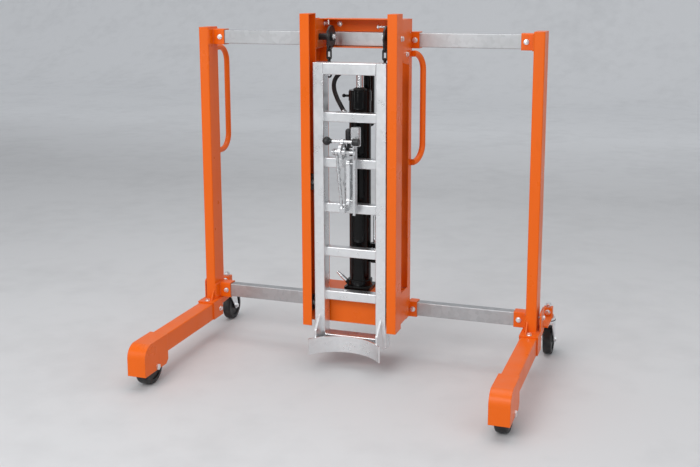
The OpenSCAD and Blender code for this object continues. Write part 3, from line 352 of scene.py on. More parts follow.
@dataclass(frozen=True)
class PaintFinish:
    """Powder coat: soft tone, orange peel, scuffs, settled dust and paler worn edges."""

    name: str
    colour: Colour
    gloss: float
    fold: float = 0.0030
    dust: Colour = (0.50, 0.42, 0.34)
    dust_share: float = 0.07
    wear: float = 0.20
    specular: float = 0.27

    def material(self) -> bpy.types.Material:
        """Builds the paint's material."""
        g = Graph(self.name)
        eased = g.eased(self.fold)
        base = g.shade(self.colour, g.span(g.noise(2.4, 4.0), 0.94, 1.06, 0.25, 0.75))
        scuff = g.span(g.noise(38.0, 6.0, (1.0, 1.0, 0.18)), 0.0, 0.12, 0.64, 0.74)
        base = g.mix(scuff, base, tuple(0.62 * c for c in self.colour))
        settled = g.patchy(g.facing_up(), 17.0, 5.0, self.dust_share, 0.35, 0.7)
        base = g.mix(settled, base, self.dust)
        worn = g.patchy(g.edge(eased), 60.0, 4.0, self.wear, 0.42, 0.62)
        base = g.mix(worn, base, tuple(0.70 * c + 0.22 for c in self.colour))
        rough = g.span(g.noise(9.0, 5.0), self.gloss - 0.05, self.gloss + 0.09, 0.3, 0.7)
        peel = g.bump(g.noise(420.0, 2.0), 0.0004, 0.10, eased)
        return g.dress(Base_Color=base, Roughness=rough, Normal=peel, Specular_IOR_Level=self.specular)


@dataclass(frozen=True)
class ZincFinish:
    """Zinc plate: metal with a faint crystal spangle, smudges and fine rolling lines."""

    name: str
    colour: Colour
    rough: float
    spangle: float = 70.0
    contrast: float = 0.05
    fold: float = 0.0012
    grime: Colour = (0.24, 0.23, 0.22)
    metal: float = 0.92

    def material(self) -> bpy.types.Material:
        """Builds the zinc's material."""
        g = Graph(self.name)
        eased = g.eased(self.fold)
        cells = g.cells(self.spangle)
        grey = g.span(cells, 1.0 - self.contrast, 1.0 + 0.3 * self.contrast)
        smudge = g.span(g.noise(6.0, 5.0), 0.93, 1.02, 0.3, 0.7)
        base = g.shade(self.colour, g.math("MULTIPLY", grey, smudge))
        base = g.mix(g.patchy(g.edge(eased), 45.0, 4.0, 0.22, 0.4, 0.7), base, self.grime)
        drift = g.span(g.noise(14.0, 6.0), self.rough - 0.03, self.rough + 0.05, 0.3, 0.7)
        rough = g.math("ADD", g.span(cells, -0.015, 0.02), drift)
        lines = g.bump(g.noise(260.0, 2.0, (1.0, 1.0, 0.25)), 0.0003, 0.03, eased)
        return g.dress(Base_Color=base, Metallic=self.metal, Roughness=rough, Normal=lines)


@dataclass(frozen=True)
class GlossFinish:
    """Wet-look enamel with faint dust on what faces up."""

    name: str
    colour: Colour
    rough: float
    fold: float = 0.0012
    dust: Colour = (0.35, 0.33, 0.30)
    rubbed: Colour = (0.16, 0.16, 0.16)
    specular: float = 0.2

    def material(self) -> bpy.types.Material:
        """Builds the enamel's material."""
        g = Graph(self.name)
        eased = g.eased(self.fold)
        pale = tuple(2.0 * c + 0.002 for c in self.colour)
        base = g.mix(g.span(g.noise(11.0, 4.0), 0.0, 0.35, 0.4, 0.8), self.colour, pale)
        base = g.mix(g.patchy(g.facing_up(), 31.0, 5.0, 0.10, 0.3, 0.7), base, self.dust)
        base = g.mix(g.patchy(g.edge(eased), 70.0, 3.0, 0.16, 0.45, 0.65), base, self.rubbed)
        rough = g.span(g.noise(23.0, 6.0), self.rough - 0.02, self.rough + 0.06, 0.35, 0.75)
        wave = g.bump(g.noise(90.0, 2.0), 0.0006, 0.03, eased)
        wave = g.bump(g.noise(620.0, 1.0, (0.03, 0.03, 1.0)), 0.0004, 0.10, wave)
        return g.dress(Base_Color=base, Roughness=rough, Normal=wave, Specular_IOR_Level=self.specular)


@dataclass(frozen=True)
class MouldedFinish:
    """Moulded plastic or rubber: grained, greyed by dust in patches."""

    name: str
    colour: Colour
    rough: float
    grain: float = 900.0
    dust_share: float = 0.08
    fold: float = 0.0014
    dust: Colour = (0.30, 0.29, 0.27)
    rubbed: Colour = (0.22, 0.21, 0.20)
    specular: float = 0.4

    def material(self) -> bpy.types.Material:
        """Builds the moulded material."""
        g = Graph(self.name)
        eased = g.eased(self.fold)
        patch = g.span(g.noise(24.0, 6.0), 0.0, self.dust_share, 0.45, 0.75)
        base = g.mix(patch, self.colour, self.dust)
        base = g.mix(g.patchy(g.edge(eased), 75.0, 3.0, 0.12, 0.4, 0.6), base, self.rubbed)
        rough = g.span(g.noise(40.0, 4.0), self.rough - 0.08, self.rough + 0.08, 0.3, 0.7)
        grain = g.bump(g.noise(self.grain, 2.0), 0.0004, 0.18, eased)
        return g.dress(Base_Color=base, Roughness=rough, Normal=grain, Specular_IOR_Level=self.specular)


@dataclass(frozen=True)
class PolishedFinish:
    """Bright steel with hair-fine turning lines round it and a thin smear of oil."""

    name: str
    colour: Colour
    rough: float
    fold: float = 0.0008

    def material(self) -> bpy.types.Material:
        """Builds the polished steel's material."""
        g = Graph(self.name)
        eased = g.eased(self.fold)
        smear = g.span(g.noise(30.0, 5.0, (1.0, 1.0, 0.3)), 0.85, 1.0, 0.35, 0.7)
        base = g.shade(self.colour, smear)
        rough = g.span(g.noise(55.0, 4.0), self.rough, self.rough + 0.12, 0.3, 0.75)
        lines = g.bump(g.noise(900.0, 1.0, (0.02, 0.02, 1.0)), 0.0002, 0.10, eased)
        return g.dress(Base_Color=base, Metallic=1.0, Roughness=rough, Normal=lines)


@dataclass(frozen=True)
class KnobbedFinish:
    """Bright bar whose two ends are black moulded knobs: the change lies across X."""

    name: str
    bar: Colour
    knob: Colour
    left: float
    right: float
    fold: float = 0.0010
    dust: Colour = (0.20, 0.20, 0.19)

    def material(self) -> bpy.types.Material:
        """Builds the bar's material."""
        g = Graph(self.name)
        eased = g.eased(self.fold)
        x = g.across("X")
        inside = g.math("GREATER_THAN", x, self.left)
        bare = g.math("MULTIPLY", inside, g.math("LESS_THAN", x, self.right))
        knob = g.mix(g.span(g.noise(60.0, 5.0), 0.0, 0.10, 0.45, 0.75), self.knob, self.dust)
        bar = g.shade(self.bar, g.span(g.noise(90.0, 4.0), 0.82, 1.0, 0.35, 0.7))
        dull = g.span(g.noise(80.0, 3.0), 0.30, 0.42)
        rough = g.math("SUBTRACT", dull, g.math("MULTIPLY", bare, 0.08))
        return g.dress(Base_Color=g.mix(bare, knob, bar), Metallic=bare, Roughness=rough, Normal=eased)


@dataclass
class Finishes:
    """The part's finishes: one per material slot, and three for single nodes or groups of nodes."""

    orange: PaintFinish = PaintFinish("orange powder coat", (0.86, 0.138, 0.004), 0.30)
    zinc: ZincFinish = ZincFinish("bright zinc plate", (0.86, 0.87, 0.88), 0.29)
    black: GlossFinish = GlossFinish("black enamel", (0.003, 0.003, 0.0032), 0.045)
    steel: MouldedFinish = MouldedFinish("blackened steel", (0.012, 0.012, 0.013), 0.36, 500.0, 0.05)
    bright: PolishedFinish = PolishedFinish("bright steel", (0.84, 0.85, 0.86), 0.10)
    plastic: MouldedFinish = MouldedFinish("black plastic", (0.014, 0.014, 0.016), 0.38)
    wheel: MouldedFinish = MouldedFinish("wheel nylon", (0.011, 0.011, 0.012), 0.44, 700.0, 0.14)
    hose: MouldedFinish = MouldedFinish("hose rubber", (0.012, 0.012, 0.013), 0.42)
    # Darker, rougher copy of the zinc plate for the two bars: its darker colour is painted shade for the
    # darker reflection the bars show.
    shade_painted_zinc: ZincFinish = ZincFinish("galvanised bar", (0.53, 0.54, 0.55), 0.46, 55.0, 0.12)
    clamped: ZincFinish = ZincFinish("clamp zinc", (0.70, 0.71, 0.72), 0.27, 90.0)
    knobbed: KnobbedFinish = KnobbedFinish(
        "knobbed bar", (0.80, 0.81, 0.82), (0.012, 0.012, 0.013), -0.0575, 0.0248)
    made: dict[Slot, bpy.types.Material] = field(default_factory=dict)

    def build(self) -> None:
        """Makes the material of every slot."""
        order = (self.orange, self.zinc, self.black, self.steel,
                 self.bright, self.plastic, self.wheel, self.hose)
        self.made = {slot: finish.material() for slot, finish in zip(Slot, order)}

    def dress_nodes(self, frame: dict) -> None:
        """Gives every solid its finish and smooth curved faces.
        """
        slots = {row["node"]: Slot(row["material_slot"]) for row in frame["record"]["subparts"]}
        # The bars take the zinc copy painted darker: painted shade.
        bar = self.shade_painted_zinc.material()
        clamp = self.clamped.material()
        own = {name: clamp for name, slot in slots.items()
               if slot is Slot.ZINC and name.startswith("clamp_")}
        own |= {"top_bar": bar, "bottom_bar": bar, "clamp_cross_bar": self.knobbed.material()}
        smooth = Smoothing()
        smooth.build()
        for name, node in frame["nodes"].items():
            node.data.materials.clear()
            node.data.materials.append(own.get(name, self.made[slots[name]]))
            smooth.apply(node)
            log.info("dressed %s in %s", name, slots[name].value)


@dataclass
class Smoothing:
    """Modifiers that join a solid's loose triangles and shade its curved faces smooth."""

    limit: float = math.radians(32.0)
    weld: float = 1e-6
    tree: bpy.types.NodeTree | None = None

    def build(self) -> None:
        """Makes the node group: merge close points, then smooth all edges under the limit."""
        self.tree = bpy.data.node_groups.new("smooth_curves", "GeometryNodeTree")
        for way in ("INPUT", "OUTPUT"):
            self.tree.interface.new_socket("Geometry", in_out=way, socket_type="NodeSocketGeometry")
        add, link = self.tree.nodes.new, self.tree.links.new
        source = add("NodeGroupInput")
        merge = add("GeometryNodeMergeByDistance")
        angle = add("GeometryNodeInputMeshEdgeAngle")
        faces = add("GeometryNodeSetShadeSmooth")
        edges = add("GeometryNodeSetShadeSmooth")
        result = add("NodeGroupOutput")
        below = add("FunctionNodeCompare")
        below.operation = "LESS_THAN"
        below.inputs[1].default_value = self.limit
        merge.inputs["Distance"].default_value = self.weld
        edges.domain = "EDGE"
        link(source.outputs["Geometry"], merge.inputs["Geometry"])
        link(merge.outputs["Geometry"], faces.inputs["Geometry"])
        link(faces.outputs["Geometry"], edges.inputs["Geometry"])
        link(angle.outputs["Unsigned Angle"], below.inputs[0])
        link(below.outputs["Result"], edges.inputs["Shade Smooth"])
        link(edges.outputs["Geometry"], result.inputs["Geometry"])

    def apply(self, node: bpy.types.Object) -> None:
        """Puts the modifiers on a solid.

        Args:
            node: Object of the solid.
        """
        node.modifiers.new("smooth", "NODES").node_group = self.tree
        weighted = node.modifiers.new("flat", "WEIGHTED_NORMAL")
        weighted.keep_sharp = True
        weighted.mode = "FACE_AREA"


def unit(rows: np.ndarray) -> np.ndarray:
    """Vectors scaled to length 1."""
    return rows / np.linalg.norm(rows, axis=-1, keepdims=True)


def circle(sides: int) -> np.ndarray:
    """Angles of one full turn in even steps, without the last, which is the first again."""
    return np.linspace(0.0, 2 * math.pi, sides, endpoint=False)


def even(path: np.ndarray, step: float) -> np.ndarray:
    """Path cut into even steps: points at equal distances along its length.

    Args:
        path: Corner points in metres.
        step: Longest step in metres.

    Returns:
        Points along the path.
    """
    run = np.concatenate([[0.0], np.cumsum(np.linalg.norm(np.diff(path, axis=0), axis=1))])
    place = np.linspace(0.0, run[-1], max(2, math.ceil(run[-1] / step)) + 1)
    return np.stack([np.interp(place, run, path[:, k]) for k in range(3)], axis=-1)


def through(points: np.ndarray, steps: int) -> np.ndarray:
    """Smooth curve through points: on each stretch a cubic whose ends lean along the neighbours.

    Args:
        points: Points in metres.
        steps: Steps per stretch.

    Returns:
        Points along the curve.
    """
    pad = np.concatenate([points[:1], points, points[-1:]])
    a, b, c, d = (pad[k:len(pad) - 3 + k, None, :] for k in range(4))
    t = np.linspace(0.0, 1.0, steps, endpoint=False)[None, :, None]
    square = 2 * a - 5 * b + 4 * c - d
    cube = 3 * b - a - 3 * c + d
    curve = 0.5 * (2 * b + (c - a) * t + square * t ** 2 + cube * t ** 3)
    return np.concatenate([curve.reshape(-1, 3), points[-1:]])


def tube(path: np.ndarray, radius: np.ndarray | float, sides: int, side: Point,
         loop: bool = False) -> np.ndarray:
    """Round skin along a path: each path point carries a circle square to the path.

    Args:
        path: Points of the middle line.
        radius: Radius at each point, or one for all.
        sides: Points round the circle.
        side: Direction that is never along the path.
        loop: True for a path that closes on itself.

    Returns:
        Grid of points, with closed ends unless it is a loop.
    """
    if loop:
        along = unit(np.roll(path, -1, axis=0) - np.roll(path, 1, axis=0))
    else:
        along = unit(np.gradient(path, axis=0))
    u = unit(np.cross(along, np.asarray(side)))
    v = np.cross(along, u)
    turn = circle(sides)[None, :, None]
    wide = np.broadcast_to(radius, len(path))[:, None, None]
    grid = path[:, None, :] + wide * (np.cos(turn) * u[:, None, :] + np.sin(turn) * v[:, None, :])
    if loop:
        return grid
    ends = np.repeat(path[[0, -1], None, :], sides, axis=1)
    return np.concatenate([ends[:1], grid, ends[1:]])


def turned(profile: Profile, place: Point, axis: Point, sides: int) -> np.ndarray:
    """Skin of a turned shape: the profile of radius and height spins about the axis.

    Args:
        profile: Pairs of radius and height along the axis.
        place: Point of height 0 on the axis.
        axis: Direction of the axis.
        sides: Points round the circle.

    Returns:
        Grid of points.
    """
    rows = np.asarray(profile)
    w = unit(np.asarray(axis, float))
    u = unit(np.cross(w, UP if abs(w[2]) < 0.9 else REAR))
    v = np.cross(w, u)
    turn = circle(sides)[None, :, None]
    out = np.cos(turn) * u + np.sin(turn) * v
    return np.asarray(place) + rows[:, :1, None] * out + rows[:, 1:, None] * w


@dataclass(frozen=True)
class Hexagon:
    """Shape of a bolt head or nut: six flats, with a cone on its top.

    Attributes:
        corner: Radius to the corners.
        height: Height of the top.
        level: Inner ring of points on the top, as a share of the radius.
        chamfer: Drop of the top per metre outside the level circle.
        foot: Height of the underside.
        inside: Level circle, as a share of the circle inside the flats.
        sides: Points round the hexagon.
    """

    corner: float
    height: float
    level: float
    chamfer: float
    foot: float = 0.0
    inside: float = 0.96
    sides: int = 48

    def skin(self, place: Point, axis: Point) -> np.ndarray:
        """Turned shape whose radius is cut to six flats and whose top falls outside the flats' circle.

        Args:
            place: Point of height 0 on the axis.
            axis: Direction of the top.

        Returns:
            Grid of points.
        """
        top, foot = self.height, self.foot
        rows = np.array(((0.0, top), (self.level, top), (1.0, top), (1.0, foot), (0.0, foot)))
        w = unit(np.asarray(axis, float))
        u = np.array(UP if abs(w[0]) > 0.5 else RIGHT)
        v = np.cross(w, u)
        turn = circle(self.sides)
        flat = self.corner * math.cos(math.pi / 6)
        reach = flat / np.cos(np.mod(turn, math.pi / 3) - math.pi / 6)
        wide = rows[:, :1] * reach[None, :]
        drop = self.chamfer * np.maximum(wide - self.inside * flat, 0.0) * (rows[:, 1:] == top)
        out = np.cos(turn)[:, None] * u + np.sin(turn)[:, None] * v
        high = rows[:, 1:] - drop
        return np.asarray(place) + wide[..., None] * out[None] + high[..., None] * w


@dataclass
class Piece:
    """One new mesh, gathered from grids that are closed round their columns."""

    name: str
    body: str
    slot: Slot
    points: list[np.ndarray] = field(default_factory=list)
    faces: list[np.ndarray] = field(default_factory=list)

    def add(self, grid: np.ndarray, loop: bool = False) -> None:
        """Adds a grid: four neighbours make a face.

        Args:
            grid: Rows by columns of points.
            loop: True where the last row joins the first.
        """
        rows, cols = grid.shape[:2]
        i, j = np.meshgrid(np.arange(rows if loop else rows - 1), np.arange(cols), indexing="ij")
        below, right = (i + 1) % rows, (j + 1) % cols
        quads = np.stack([i * cols + j, below * cols + j, below * cols + right, i * cols + right], axis=-1)
        self.faces.append(quads.reshape(-1, 4) + sum(len(p) for p in self.points))
        self.points.append(grid.reshape(-1, 3))

    def make(self, finishes: Finishes, sharp: float = 35.0) -> bpy.types.Object:
        """Builds the object: poles merged, faces outwards, edges over an angle kept sharp.

        Args:
            finishes: The part's finishes, of which the piece takes its slot's.
            sharp: Angle in degrees.

        Returns:
            The new object, which rides on its body.
        """
        mesh = bpy.data.meshes.new(self.name)
        mesh.from_pydata(np.concatenate(self.points).tolist(), [], np.concatenate(self.faces).tolist())
        work = bmesh.new()
        work.from_mesh(mesh)
        bmesh.ops.remove_doubles(work, verts=work.verts, dist=1e-6)
        bmesh.ops.dissolve_degenerate(work, edges=work.edges, dist=1e-7)
        bmesh.ops.recalc_face_normals(work, faces=work.faces)
        work.to_mesh(mesh)
        work.free()
        mesh.shade_smooth()
        mesh.set_sharp_from_angle(angle=math.radians(sharp))
        obj = bpy.data.objects.new(self.name, mesh)
        bpy.context.scene.collection.objects.link(obj)
        mesh.materials.append(finishes.made[self.slot])
        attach(obj, self.body)
        log.info("made %s with %d faces", self.name, len(mesh.polygons))
        return obj


@dataclass
class Fasteners:
    """Hexagon bolts with washers and threads, in the places of the frame's bolt solids."""

    shank: float = 0.005
    head: Hexagon = Hexagon(0.009, 0.007, 0.78, 0.55)
    washer: float = 0.011
    washer_t: float = 0.002
    play: float = 0.0003
    rim: float = 0.0006
    pitch: float = 0.0015
    thread: float = 0.0004
    point: float = 0.85
    long_bolt: Seat = ((0.0620, 0.17425, 1.3685), LEFT, 0.108)
    stud: Seat = ((-0.149, 0.168, 1.395), UP, 0.020)

    def places(self) -> list[Seat]:
        """Seat under each washer, direction of the head and shank length."""
        rows: list[Seat] = []
        for s in (-1.0, 1.0):
            out, back = (s, 0.0, 0.0), (-s, 0.0, 0.0)
            rows += [((s * x, 0.18995, z), FRONT, 0.016) for x in (0.6445, 0.205) for z in (1.318, 0.212)]
            rows += [((s * 0.196, 0.03225, 1.331), out, 0.004),
                     ((s * 0.196, 0.10625, 1.268), out, 0.004),
                     ((s * 0.168, 0.17425, 1.380), back, 0.004),
                     ((s * 0.125, 0.23425, 1.376), FRONT, 0.004),
                     ((s * 0.106, 0.10425, 1.331), back, 0.014),
                     ((s * 0.700, 0.11725, 0.179), UP, 0.018),
                     ((s * 0.6625, 0.16225, 0.135), back, 0.016),
                     ((s * 0.7375, 0.21125, 0.224), out, 0.022),
                     ((s * 0.735, 0.36925, 0.197), FRONT, 0.008)]
        return rows

    def shank_skin(self, place: Point, axis: Point, length: float) -> np.ndarray:
        """Threaded shank: the radius dips by a cosine that climbs one pitch per turn.

        Args:
            place: Seat under the washer.
            axis: Direction of the head.
            length: Length below the seat.

        Returns:
            Grid of points.
        """
        high = np.arange(-length, self.washer_t, self.pitch / 4)
        turn = circle(20)
        dip = 0.5 - 0.5 * np.cos(2 * math.pi * high[:, None] / self.pitch - turn[None, :])
        wide = self.shank - self.thread * dip
        wide[[0, -1]] = 0.0
        wide[1] *= self.point
        plain = turned([(1.0, h) for h in high], place, axis, turn.size)
        middle = plain.mean(axis=1, keepdims=True)
        return middle + wide[..., None] * (plain - middle)

    def build(self, finishes: Finishes) -> None:
        """Makes all bolts as one piece, with a long bolt and a stud that have no washer.

        Args:
            finishes: The part's finishes.
        """
        piece = Piece("bolts", "frame", Slot.ZINC)
        bore, w, t, rim = self.shank + self.play, self.washer, self.washer_t, self.rim
        ring = [(bore, 0.0), (w - rim, 0.0), (w, rim), (w, t - rim), (w - rim, t), (bore, t), (bore, 0.0)]
        for place, axis, length in self.places():
            seat = tuple(p + t * a for p, a in zip(place, axis))
            piece.add(turned(ring, place, axis, 36))
            piece.add(self.head.skin(seat, axis))
            piece.add(self.shank_skin(place, axis, length))
        piece.add(self.head.skin(*self.long_bolt[:2]))
        piece.add(self.shank_skin(*self.long_bolt))
        piece.add(self.shank_skin(*self.stud))
        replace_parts(piece.make(finishes), "frame_bolts")


@dataclass
class MastHandle:
    """Bent tube of the mast's handle, in place of its faceted solid."""

    top: Point = (0.212, 0.14625, 1.268)
    turn: float = math.radians(17.0)
    reach: float = 0.072
    drop: float = 0.431
    bend: float = 0.068
    radius: float = 0.012
    step: float = 0.0035

    def build(self, finishes: Finishes) -> None:
        """Makes the tube: out, a quarter circle down, a straight run, and the same back.

        Args:
            finishes: The part's finishes.
        """
        arc = np.linspace(0.0, math.pi / 2, 33)
        out = np.concatenate([[0.0], self.reach + self.bend * (np.sin(arc) - 1.0)])
        high = np.concatenate([[0.0], self.bend * (np.cos(arc) - 1.0)])
        out = np.concatenate([out, out[::-1]])
        high = np.concatenate([high, -self.drop - high[::-1]])
        aside, back = math.sin(self.turn), math.cos(self.turn)
        path = np.asarray(self.top) + np.stack([out * aside, out * back, high], axis=-1)
        piece = Piece("mast_handle_tube", "frame", Slot.ORANGE)
        piece.add(tube(even(path, self.step), self.radius, 40, (back, -aside, 0.0)))
        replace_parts(piece.make(finishes), "push_handle_right")


@dataclass
class OilHose:
    """Oil hose from the barrel's port to the tank's port, with a nut and a crimped ferrule at each end."""

    origin: Point = (0.0, 0.12025, 1.123)
    start: Point = (-0.055, 0.0, -0.103)
    lean: float = math.radians(45.0)
    port: Point = (-0.0331, 0.077, 0.069)
    lead: float = 0.008
    radius: float = 0.0090
    step: float = 0.003
    route: tuple[Point, ...] = ((-0.070, 0.002, -0.087), (-0.084, 0.008, -0.068), (-0.105, 0.020, -0.038),
                                (-0.122, 0.034, -0.003), (-0.124, 0.048, 0.029), (-0.108, 0.062, 0.055),
                                (-0.080, 0.073, 0.067), (-0.050, 0.077, 0.069))
    nut: Hexagon = Hexagon(0.0132, 0.009, 0.85, 0.5, 0.0002)
    ferrule: float = 0.0110
    ferrule_h: float = 0.0145
    crimp: float = 0.0008
    neck: Profile = ((0.0, 0.0088), (0.0106, 0.0088))
    mouth: Profile = ((0.0100, 0.0245), (0.0086, 0.0247))

    def build(self, finishes: Finishes) -> None:
        """Makes the hose and its fittings.

        Args:
            finishes: The part's finishes.
        """
        out = np.array((-math.sin(self.lean), 0.0, math.cos(self.lean)))
        origin, start, port = np.asarray(self.origin), np.asarray(self.start), np.asarray(self.port)
        left = np.asarray(LEFT)
        bends = np.concatenate([[start + self.lead * out], self.route, [port + self.lead * left]])
        path = origin + np.concatenate([[start], through(bends, 14), [port]])
        hose = Piece("hose", "frame", Slot.HOSE)
        hose.add(tube(even(path, self.step), self.radius, 28, (0.3, 1.0, 0.0)))
        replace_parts(hose.make(finishes), "oil_hose")
        fittings = Piece("hose_fittings", "frame", Slot.ZINC)
        for place, axis in ((start, out), (port, left)):
            self.fit(fittings, tuple(origin + place), tuple(axis))
        fittings.make(finishes)

    def fit(self, piece: Piece, place: Point, axis: Point) -> None:
        """Adds a nut and a ferrule with three crimped grooves.

        Args:
            piece: Piece that takes the skins.
            place: Face of the port.
            axis: Direction of the hose.
        """
        piece.add(self.nut.skin(place, axis))
        step = np.linspace(0.0, 1.0, 25)
        groove = self.ferrule - self.crimp * np.clip(np.sin(step * 6 * math.pi), 0.0, 1.0)
        sleeve = np.stack([groove, self.nut.height + self.ferrule_h * step], axis=-1)
        piece.add(turned(np.concatenate([self.neck, sleeve, self.mouth]), place, axis, 40))


@dataclass
class RamTrim:
    """Wiper seal round the rod, weld at the barrel's foot and seals of the castors' swivels."""

    axis: tuple[float, float] = (0.0, 0.12025)
    top: float = 1.123
    rod: float = 0.0155
    play: float = 0.0002
    lip: Profile = ((0.0, 0.0), (0.0110, 0.0), (0.0110, 0.0035), (0.0075, 0.0060),
                    (0.0030, 0.0075), (0.0008, 0.0100), (0.0, 0.0095), (0.0, 0.0))
    foot: float = 0.319
    collar: float = 0.050
    bead: float = 0.0028
    ripple: float = 0.10
    drops: int = 80
    swivel: Point = (0.735, 0.38725, 0.1600)
    band: Profile = ((0.0298, 0.0), (0.0308, 0.0), (0.0318, 0.0010), (0.0318, 0.0030),
                     (0.0308, 0.0040), (0.0298, 0.0040), (0.0298, 0.0))

    def build(self, finishes: Finishes) -> None:
        """Makes the rod's seal, the weld and both swivels' seals.

        Args:
            finishes: The part's finishes.
        """
        x, y = self.axis
        bore = self.rod + self.play
        seal = Piece("rod_wiper", "frame", Slot.HOSE)
        seal.add(turned([(bore + wide, high) for wide, high in self.lip], (x, y, self.top), UP, 64))
        seal.make(finishes)
        turn = circle(240)
        ring = [x + self.collar * np.cos(turn), y + self.collar * np.sin(turn),
                np.full_like(turn, self.foot)]
        swell = self.bead * (1.0 + self.ripple * np.sin(turn * self.drops))
        weld = Piece("ram_weld", "frame", Slot.BLACK_PAINT)
        weld.add(tube(np.stack(ring, axis=-1), swell, 10, UP, True), True)
        weld.make(finishes)
        x, y, z = self.swivel
        for s, end in ((-1.0, "l"), (1.0, "r")):
            race = Piece(f"swivel_seal_{end}", f"castor_{end}", Slot.HOSE)
            race.add(turned(self.band, (s * x, y, z), UP, 64))
            race.make(finishes)


@dataclass
class SaddleRibs:
    """Flared skins over the two fins, which widen from a narrow top to a broad foot on the stiles.

    Attributes:
        slope_y: Depth at which the fins' sloping front edge starts.
        slope_z: Height at which it starts.
        slope: Way forward per way down.
        cover: How far the skins stand before the fins.
        sunk: How far they reach into the stiles.
    """

    fin_x: float = 0.129
    face: float = -0.0137
    front: float = -0.0655
    foot: float = 0.1005
    top: float = 0.2120
    slim: float = 0.0043
    flare: float = 0.0125
    slope_y: float = -0.01275
    slope_z: float = 0.220
    slope: float = 91.0 / 90.0
    cover: float = 0.0003
    sunk: float = 0.0006

    def build(self, finishes: Finishes) -> None:
        """Makes both ribs: level sections from a sloping front edge to a foot line that flares downwards.

        Args:
            finishes: The part's finishes.
        """
        piece = Piece("saddle_ribs", "carriage", Slot.ZINC)
        high = np.linspace(self.foot, self.top, 28)[:, None]
        wide = self.slim + self.flare * ((self.top - high) / (self.top - self.foot)) ** 1.3
        tip = np.maximum(self.front, self.slope_y - (self.slope_z - high) * self.slope) - self.cover
        share = np.linspace(0.0, 1.0, 9)[None, :]
        half = self.slim + (wide - self.slim) * share ** 2.0
        deep = tip + (self.face + self.sunk - tip) * share
        across = np.concatenate([-half[:, ::-1], half], axis=1)
        depth = np.concatenate([deep[:, ::-1], deep], axis=1)
        for s in (-1.0, 1.0):
            grid = np.stack([s * self.fin_x + across, depth, np.broadcast_to(high, across.shape)], axis=-1)
            ends = np.repeat(grid[[0, -1]].mean(axis=1, keepdims=True), grid.shape[1], axis=1)
            piece.add(np.concatenate([ends[:1], grid, ends[1:]]))
        piece.make(finishes, 50.0)


